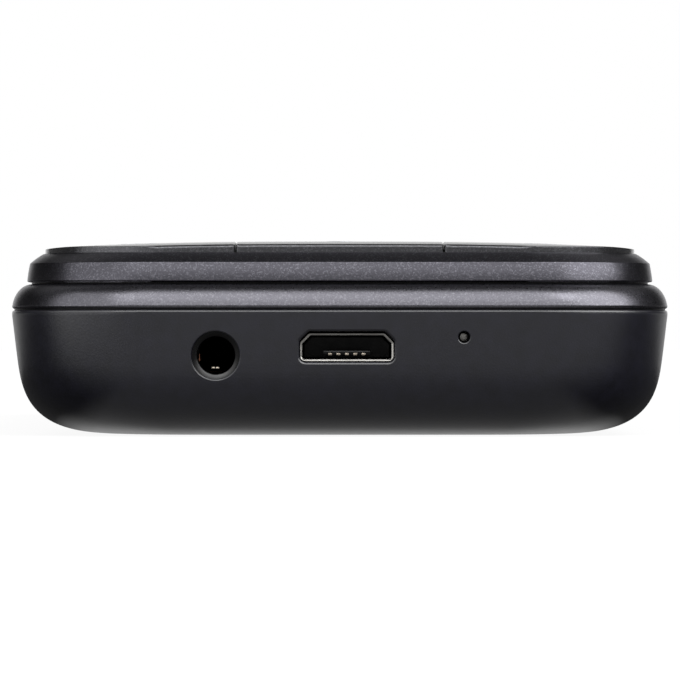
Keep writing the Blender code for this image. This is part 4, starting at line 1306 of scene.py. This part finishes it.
def makeAudioJack():
    x = sockets["jackX"]
    z = sockets["jackZ"]
    face = jack["face"]
    block = blockPiece("audio_jack_block", (x - jack["width"] / 2, face, z - jack["height"] / 2),
                       (x + jack["width"] / 2, face + jack["length"], z + jack["height"] / 2), 0.15)
    # A round nose carries the opening forward to the cover's wall.
    front = jack["noseFace"]
    radius = jack["noseRadius"]
    nose = turned([(radius - 0.05, front), (radius, front + 0.05), (radius, face + 0.3)], (x, 0, z), "Y", 72)
    fuse(block, newPiece("nose", nose))
    # The face falls inwards as a flat funnel, then turns into the bore.
    bore = jack["bore"]
    neck = front + jack["funnel"]
    end = front + jack["boreDepth"]
    profile = [(radius + 0.2, front - 0.3), (radius - 0.06, front - 0.005), (bore + 0.06, neck),
               (bore + 0.03, neck + 0.02), (bore + 0.01, neck + 0.05), (bore, neck + 0.12), (bore, end - 2.6),
               (0.03, end)]
    slot = blockPiece("spring_slot", (x - 0.9, jack["springFront"] - 0.2, z - jack["height"] / 2 + 0.3),
                      (x + 0.9, jack["springBack"] + 0.3, z - 1.0))
    side = blockPiece("leaf_slot", (x - bore - 0.45, jack["leafFront"] - 0.15, z - 0.5),
                      (x - 1.0, jack["leafFront"] + jack["leafLength"] + 0.15, z + 0.45))
    carve(block, newPiece("bore", turned(profile, (x, 0, z), "Y", 72)), slot, side)
    place(block, "phone", "inner_plastic", "audio_jack", material=socketPlastic)
    # Two prongs side by side rise towards the mouth, and a narrow leaf stands at the left side.
    front = jack["springFront"]
    low = z - jack["height"] / 2 + 0.42
    high = z - jack["springRise"]
    prongs = []
    for way in (-1, 1):
        middle = x - 0.08 + way * jack["prongPitch"] / 2
        spots = [(front, high), (front + 0.5, high + 0.03), (front + 1.1, high - 0.03),
                 (front + 2.2, (high + low) / 2), (front + 3.4, low + 0.05), (jack["springBack"] - 0.3, low)]
        prongs.append(stripPiece("prong", middle, jack["prongWidth"], jack["sheet"], spots))
    root = blockPiece("spring_root", (x - 0.6, jack["springBack"] - 0.9, low - 0.06),
                      (x + 0.5, jack["springBack"], low + 0.06), 0.02)
    spring = fuse(root, *prongs)
    spring.name = "jack_spring_fork"
    place(spring, "phone", "gold_plate", "jack_spring", material=paleGold)
    bed = stripPiece("jack_spring_bed", x - 0.05, 1.0, 0.06, [
        (front + 0.2, z - 1.27), (front + 0.8, z - 1.33), (front + 1.5, z - 1.36)])
    place(bed, "phone", "gold_plate", material=copper)
    front = jack["leafFront"]
    rings = []
    for share, rise in ((0, 0.0), (0.2, 0.06), (0.5, 0.13), (0.8, 0.04), (1, -0.1)):
        y = front + share * jack["leafLength"]
        start = x - 1.33 + rise
        lean = 0 if share else 0.1
        rings.append([(start, y, z - 0.42), (start + 0.06, y, z - 0.42), (start + 0.06, y + lean, z + 0.12),
                      (start, y + lean, z + 0.12)])
    leaf = newPiece("jack_side_leaf", skin(rings))
    place(leaf, "phone", "gold_plate", material=copper)


makeAudioJack()
print("headphone socket made")

# ---- micro-USB socket
usb = {
    "face": -59.0,
    "flare": 0.05,
    "length": 5.2,
    "tongueLow": 6.36,
    "tongueHigh": 6.68,
    "tongueHalf": 1.85,
    "recess": 0.6,
    "base": 1.2,
    "contacts": 5,
    "contactPitch": 0.65,
    "contactWidth": 0.3,
}


def makeUsbSocket():
    face = usb["face"]
    back = face + usb["length"]
    wall = sockets["usbWall"]
    # The sheet's front edge slopes inwards as a narrow funnel.
    nose = [(0, face + 0.04), (-0.01, face + 0.012), (-0.03, face), (0.03 - wall, face + usb["flare"]),
            (0.01 - wall, face + usb["flare"] + 0.02), (-wall, face + usb["flare"] + 0.06)]
    rings = [[(x, y, z) for x, z in usbOutline(grown)] for grown, y in [(0, back)] + nose + [(-wall, back)]]
    shape = newPiece("usb_shell_drawn", skin(rings, closedLoop=True))
    place(shape, "phone", "socket_steel", "usb_shell", material=platedSteel)
    inner = usbOutline(-wall - body["seamGap"])
    base = newPiece("usb_tongue_block", skin([[(x, y, z) for x, z in inner]
                                              for y in (back - usb["base"], back - body["seamGap"])]))
    middle = sockets["usbX"]
    tongue = blockPiece("tongue", (middle - usb["tongueHalf"], face + usb["recess"], usb["tongueLow"]),
                        (middle + usb["tongueHalf"], back - usb["base"] / 2, usb["tongueHigh"]), 0.06)
    fuse(base, tongue)
    place(base, "phone", "inner_plastic", "usb_tongue", material=polymer)
    contact = boxShape((-usb["contactWidth"] / 2, face + usb["recess"] - 0.03, usb["tongueLow"] - 0.03),
                       (usb["contactWidth"] / 2, back - usb["base"] - 0.1, usb["tongueLow"] + 0.14))
    soften(contact, contact.edges[:], 0.03)
    strips = copies("usb_contacts", contact, usb["contacts"], 1, usb["contactPitch"], 0, (middle, 0, 0),
                    paleGold)
    place(strips, "phone", "gold_plate", material=paleGold)


makeUsbSocket()
print("micro-USB socket made")

# ---- screws with a cross recess, seen once the cover is off
screw = {
    "headRadius": 1.2,
    "headHeight": 0.6,
    "seat": 6.14,
    "shankRadius": 0.6,
    "tip": 10.5,
    "recessWidth": 0.32,
    "recessLength": 1.35,
    "recessDepth": 0.38,
    "threadPitch": 0.4,
    "threadDepth": 0.09,
}


def makeScrews():
    radius = screw["headRadius"]
    seat = screw["seat"]
    under = seat - screw["headHeight"]
    shank = screw["shankRadius"]
    pitch = screw["threadPitch"]
    profile = [(0.3, under), (radius - 0.35, under + 0.03), (radius - 0.12, under + 0.12),
               (radius, under + 0.3), (radius, seat), (shank, seat)]
    # The thread is drawn as plain grooves.
    for turn in range(int((screw["tip"] - seat) / pitch)):
        height = seat + 0.1 + turn * pitch
        profile += [(shank - screw["threadDepth"], height), (shank, height + pitch / 2)]
    profile += [(0.2, screw["tip"])]
    head = newPiece("screw", turned(profile, (0, 0, 0), sides=36))
    long = screw["recessLength"] / 2
    slim = screw["recessWidth"] / 2
    depth = under + screw["recessDepth"]
    carve(head, blockPiece("recess", (-long, -slim, under - 1), (long, slim, depth)),
          blockPiece("recess", (-slim, -long, under - 1), (slim, long, depth)))
    bm = bmesh.new()
    bm.from_mesh(head.data)
    bpy.data.objects.remove(head, do_unlink=True)
    names = [f"chassis_screw_{at}" for at in range(1, 7)]
    place(atBosses("cross_screws", bm, platedSteel), "phone", "socket_steel", *names, material=platedSteel)


makeScrews()
print("screws made")

# ---- battery contacts
contacts = {
    "count": 3,
    "pitch": 2.0,
    "width": 0.7,
    "low": 3.6,
    "high": 5.5,
    "back": 9.72,
    "reach": 0.5,
    "sheet": 0.12,
    "steps": 8,
}


def makeBatteryContacts():
    rings = []
    half = contacts["width"] / 2
    for step in range(contacts["steps"] + 1):
        share = step / contacts["steps"]
        z = contacts["low"] + (contacts["high"] - contacts["low"]) * share
        y = contacts["back"] - contacts["reach"] * math.sin(math.pi * share)
        front = y - contacts["sheet"]
        rings.append([(-half, front, z), (half, front, z), (half, y, z), (-half, y, z)])
    leaves = copies("battery_contacts", skin(rings), contacts["count"], 1, contacts["pitch"], 0, (0, 0, 0),
                    gold)
    place(leaves, "phone", "gold_plate", material=gold)


makeBatteryContacts()
print("battery contacts made")


# ---- solids that keep their shape and get a finish
def dressSolids():
    finishes = {
        nylon: ("rear_chassis", "battery_connector", "camera_module", "loudspeaker", "nav_gimbal"),
        rubber: ("keymat", "display_gasket", "mic_boot"),
        tinnedSheet: ("sim_socket_1", "sim_socket_2", "memory_card_socket", "rf_shield", "display_tray",
                      "dome_sheet", "vibration_motor"),
        platedSteel: ("earpiece", "microphone"),
        laminate: ("main_board",),
        gold: ("antenna",),
        cellFilm: ("battery",),
        lensGlass: ("display_panel",),
        tungsten: ("vibration_weight",),
    }
    for finish, names in finishes.items():
        for name in names:
            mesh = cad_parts[name].data
            if not mesh.materials:
                mesh.materials.append(finish)
            for at in range(len(mesh.materials)):
                mesh.materials[at] = finish


dressSolids()
print("solids dressed")

# ---- studio: pale floor, white surroundings, softboxes and the camera
# Lengths in m, reaches on the floor in mm, world reaches as parts of a unit direction
studio = {
    "floorSize": 6.0,
    "floorLevel": -0.00005,
    "floorTone": "565656",
    "eyeGlow": (0.92, 1.0),
    "eyeGlowReach": (0.1, 0.4),
    "mirrored": 0.55,
    "windowGlow": 1.9,
    "windowReach": (-80, -45),
    "footGlow": 0.75,
    "footReach": 30,
    "aheadReach": (-76, -58),
    "besideShare": 0.02,
    "backGlow": 0.5,
    "backReach": (5, 45),
    "underGlow": 0.5,
    "underReach": (-6.5, -2.3),
    "underFaint": (0.26, 0.04),
    "underFaintReach": (3.5, 6.5),
    "outlineBlur": 0.5,
    "fill": 0.3,
    "front": 0.25,
    "frontTurn": 22,
    "frontReach": (0.05, 0.75),
    "side": 0.04,
    "behindReach": (0.82, 0.97),
    "overheadReach": (0.12, 0.5),
    "zenith": 0.02,
    "backSky": 0.28,
    "backSkyReach": (0.1, 0.6),
    "backSkyRise": (0.45, 0.72),
    "cameraPlace": (0.000016, -0.453, 0.00751),
    "viewAngle": 7.69,
}
softboxes = {
    "right_softbox": {"azimuth": 65, "elevation": 38, "distance": 0.62, "size": (0.64, 0.6), "power": 4.3},
    "front_softbox": {"azimuth": 4, "elevation": 43.5, "distance": 0.62, "size": (0.56, 0.6), "power": 2.4},
    "left_softbox": {"azimuth": -54, "elevation": 32, "distance": 0.62, "size": (0.77, 0.7), "power": 2.1},
}


def addFloor():
    half = studio["floorSize"] / 2
    level = studio["floorLevel"]
    mesh = bpy.data.meshes.new("studio_floor")
    mesh.from_pydata([(-half, -half, level), (half, -half, level), (half, half, level), (-half, half, level)],
                     [], [(0, 1, 2, 3)])
    floor = addObject("studio_floor", mesh)
    material = bpy.data.materials.new("pale_card")
    material.use_nodes = True
    tree = material.node_tree
    tree.nodes.clear()

    def ramp(value, reach, first, last):
        return remap(tree, value, reach[0] * millimetre, reach[1] * millimetre, first, last)

    spot = addNode(tree, "ShaderNodeTexCoord").outputs["Object"]
    path = addNode(tree, "ShaderNodeLightPath").outputs
    eyeGlow = remap(tree, vectorCalc(tree, "LENGTH", spot), *studio["eyeGlowReach"], *studio["eyeGlow"], True)
    eyeShare = calc(tree, "MULTIPLY", path["Is Camera Ray"], eyeGlow)
    others = calc(tree, "MAXIMUM", path["Is Glossy Ray"], path["Is Transmission Ray"])
    # How far a spot lies outside the phone's outline, plus the corner radius
    radius = body["cornerRadius"]
    middle = ((body["halfWidth"] - radius) * millimetre, (body["halfLength"] - radius) * millimetre, 0)
    flat = vectorCalc(tree, "ABSOLUTE", vectorCalc(tree, "MULTIPLY", spot, (1, 1, 0)))
    over = vectorCalc(tree, "SUBTRACT", flat, middle)
    rounded = vectorCalc(tree, "LENGTH", vectorCalc(tree, "MAXIMUM", over, (0, 0, 0)))
    parts = splitAxes(tree, over)
    inner = calc(tree, "MINIMUM", calc(tree, "MAXIMUM", parts["X"], parts["Y"]), 0.0)
    outside = calc(tree, "SUBTRACT", calc(tree, "ADD", rounded, inner), radius * millimetre)
    # In reflections the card is pale in front and behind, darker beside the phone and under its foot.
    places = splitAxes(tree, spot)
    window = ramp(places["X"], studio["windowReach"], studio["windowGlow"], studio["mirrored"])
    foot = ramp(outside, (0, studio["footReach"]), studio["footGlow"], 1.0)
    front = ramp(places["Y"], studio["aheadReach"], 1.0, studio["besideShare"])
    back = ramp(places["Y"], studio["backReach"], 0.0, studio["backGlow"])
    far = calc(tree, "MAXIMUM", calc(tree, "MULTIPLY", front, calc(tree, "MULTIPLY", foot, window)), back)
    blur = studio["outlineBlur"]
    far = calc(tree, "MULTIPLY", far, ramp(outside, (-blur, blur), 0.0, 1.0))
    under = calc(tree, "MAXIMUM", ramp(outside, studio["underReach"], studio["underGlow"], 0.0),
                 ramp(parts["X"], studio["underFaintReach"], *studio["underFaint"]))
    mirrored = calc(tree, "MAXIMUM", far, under)
    glow = calc(tree, "MULTIPLY_ADD", others, mirrored, eyeShare)
    light = addNode(tree, "ShaderNodeEmission", {"Color": (1, 1, 1, 1), "Strength": glow}).outputs[0]
    card = addNode(tree, "ShaderNodeBsdfDiffuse", {"Color": linearColour(studio["floorTone"])}).outputs[0]
    lit = addNode(tree, "ShaderNodeAddShader", {0: light, 1: card}).outputs[0]
    # A reflection sees the set glow alone.
    both = addNode(tree, "ShaderNodeMixShader", {0: others, 1: lit, 2: light}).outputs[0]
    # From below the card lets the eye through, so that the back can be seen.
    clear = addNode(tree, "ShaderNodeBsdfTransparent", {"Color": (1, 1, 1, 1)}).outputs[0]
    backside = addNode(tree, "ShaderNodeNewGeometry").outputs["Backfacing"]
    sided = addNode(tree, "ShaderNodeMixShader", {0: backside, 1: both, 2: clear}).outputs[0]
    addNode(tree, "ShaderNodeOutputMaterial", {"Surface": sided})
    mesh.materials.append(material)


# White to the eye. In reflections it is white behind the phone, grey in front, dark at the sides and
# overhead. Other rays get a plain fill.
def setWorld():
    world = bpy.data.worlds.new("white_sweep")
    world.use_nodes = True
    bpy.context.scene.world = world
    tree = world.node_tree
    tree.nodes.clear()
    direction = addNode(tree, "ShaderNodeTexCoord").outputs["Generated"]
    way = splitAxes(tree, direction)
    turn = math.radians(studio["frontTurn"])
    facing = vectorCalc(tree, "DOT_PRODUCT", direction, (math.sin(turn), -math.cos(turn), 0))
    ahead = remap(tree, facing, *studio["frontReach"], studio["side"], studio["front"], True)
    behind = remap(tree, way["Y"], *studio["behindReach"], smooth=True)
    sides = calc(tree, "MAXIMUM", ahead, behind)
    overhead = remap(tree, way["Z"], *studio["overheadReach"], smooth=True)
    above = calc(tree, "MULTIPLY",
                 remap(tree, way["Y"], *studio["backSkyReach"], studio["zenith"], studio["backSky"]),
                 remap(tree, way["Z"], *studio["backSkyRise"]))
    tone = addNode(tree, "ShaderNodeMix", {"Factor": overhead, "A": sides, "B": above}).outputs["Result"]
    path = addNode(tree, "ShaderNodeLightPath").outputs
    tone = calc(tree, "MAXIMUM", tone, path["Is Camera Ray"])
    seen = calc(tree, "MAXIMUM", path["Is Camera Ray"], path["Is Glossy Ray"])
    seen = calc(tree, "MAXIMUM", seen, path["Is Transmission Ray"])
    sweep = addNode(tree, "ShaderNodeBackground", {"Color": tone, "Strength": 1.0}).outputs[0]
    fill = addNode(tree, "ShaderNodeBackground", {
        "Color": (1, 1, 1, 1), "Strength": studio["fill"]}).outputs[0]
    both = addNode(tree, "ShaderNodeMixShader", {0: seen, 1: fill, 2: sweep}).outputs[0]
    addNode(tree, "ShaderNodeOutputWorld", {"Surface": both})


def addSoftbox(name, azimuth, elevation, distance, size, power):
    turn = math.radians(azimuth)
    rise = math.radians(elevation)
    way = Vector((math.sin(turn) * math.cos(rise), -math.cos(turn) * math.cos(rise), math.sin(rise)))
    lamp = bpy.data.lights.new(name, "AREA")
    lamp.shape = "RECTANGLE"
    lamp.size, lamp.size_y = size
    lamp.energy = power
    holder = addObject(name, lamp)
    holder.location = Vector((0, -body["halfLength"], body["faceTop"] / 2)) * millimetre + way * distance
    holder.rotation_euler = way.to_track_quat("Z", "Y").to_euler()
    holder.visible_camera = False


def addCamera():
    view = bpy.data.cameras.new("photo_view")
    view.sensor_width = 36
    view.lens = view.sensor_width / 2 / math.tan(math.radians(studio["viewAngle"] / 2))
    view.clip_start = 0.01
    view.clip_end = 20
    holder = addObject("photo_view", view)
    holder.location = studio["cameraPlace"]
    holder.rotation_euler = (math.radians(90), 0, 0)
    bpy.context.scene.camera = holder


addFloor()
setWorld()
for name, values in softboxes.items():
    addSoftbox(name, **values)
addCamera()
bpy.context.scene.view_settings.view_transform = "Standard"
print("studio set")
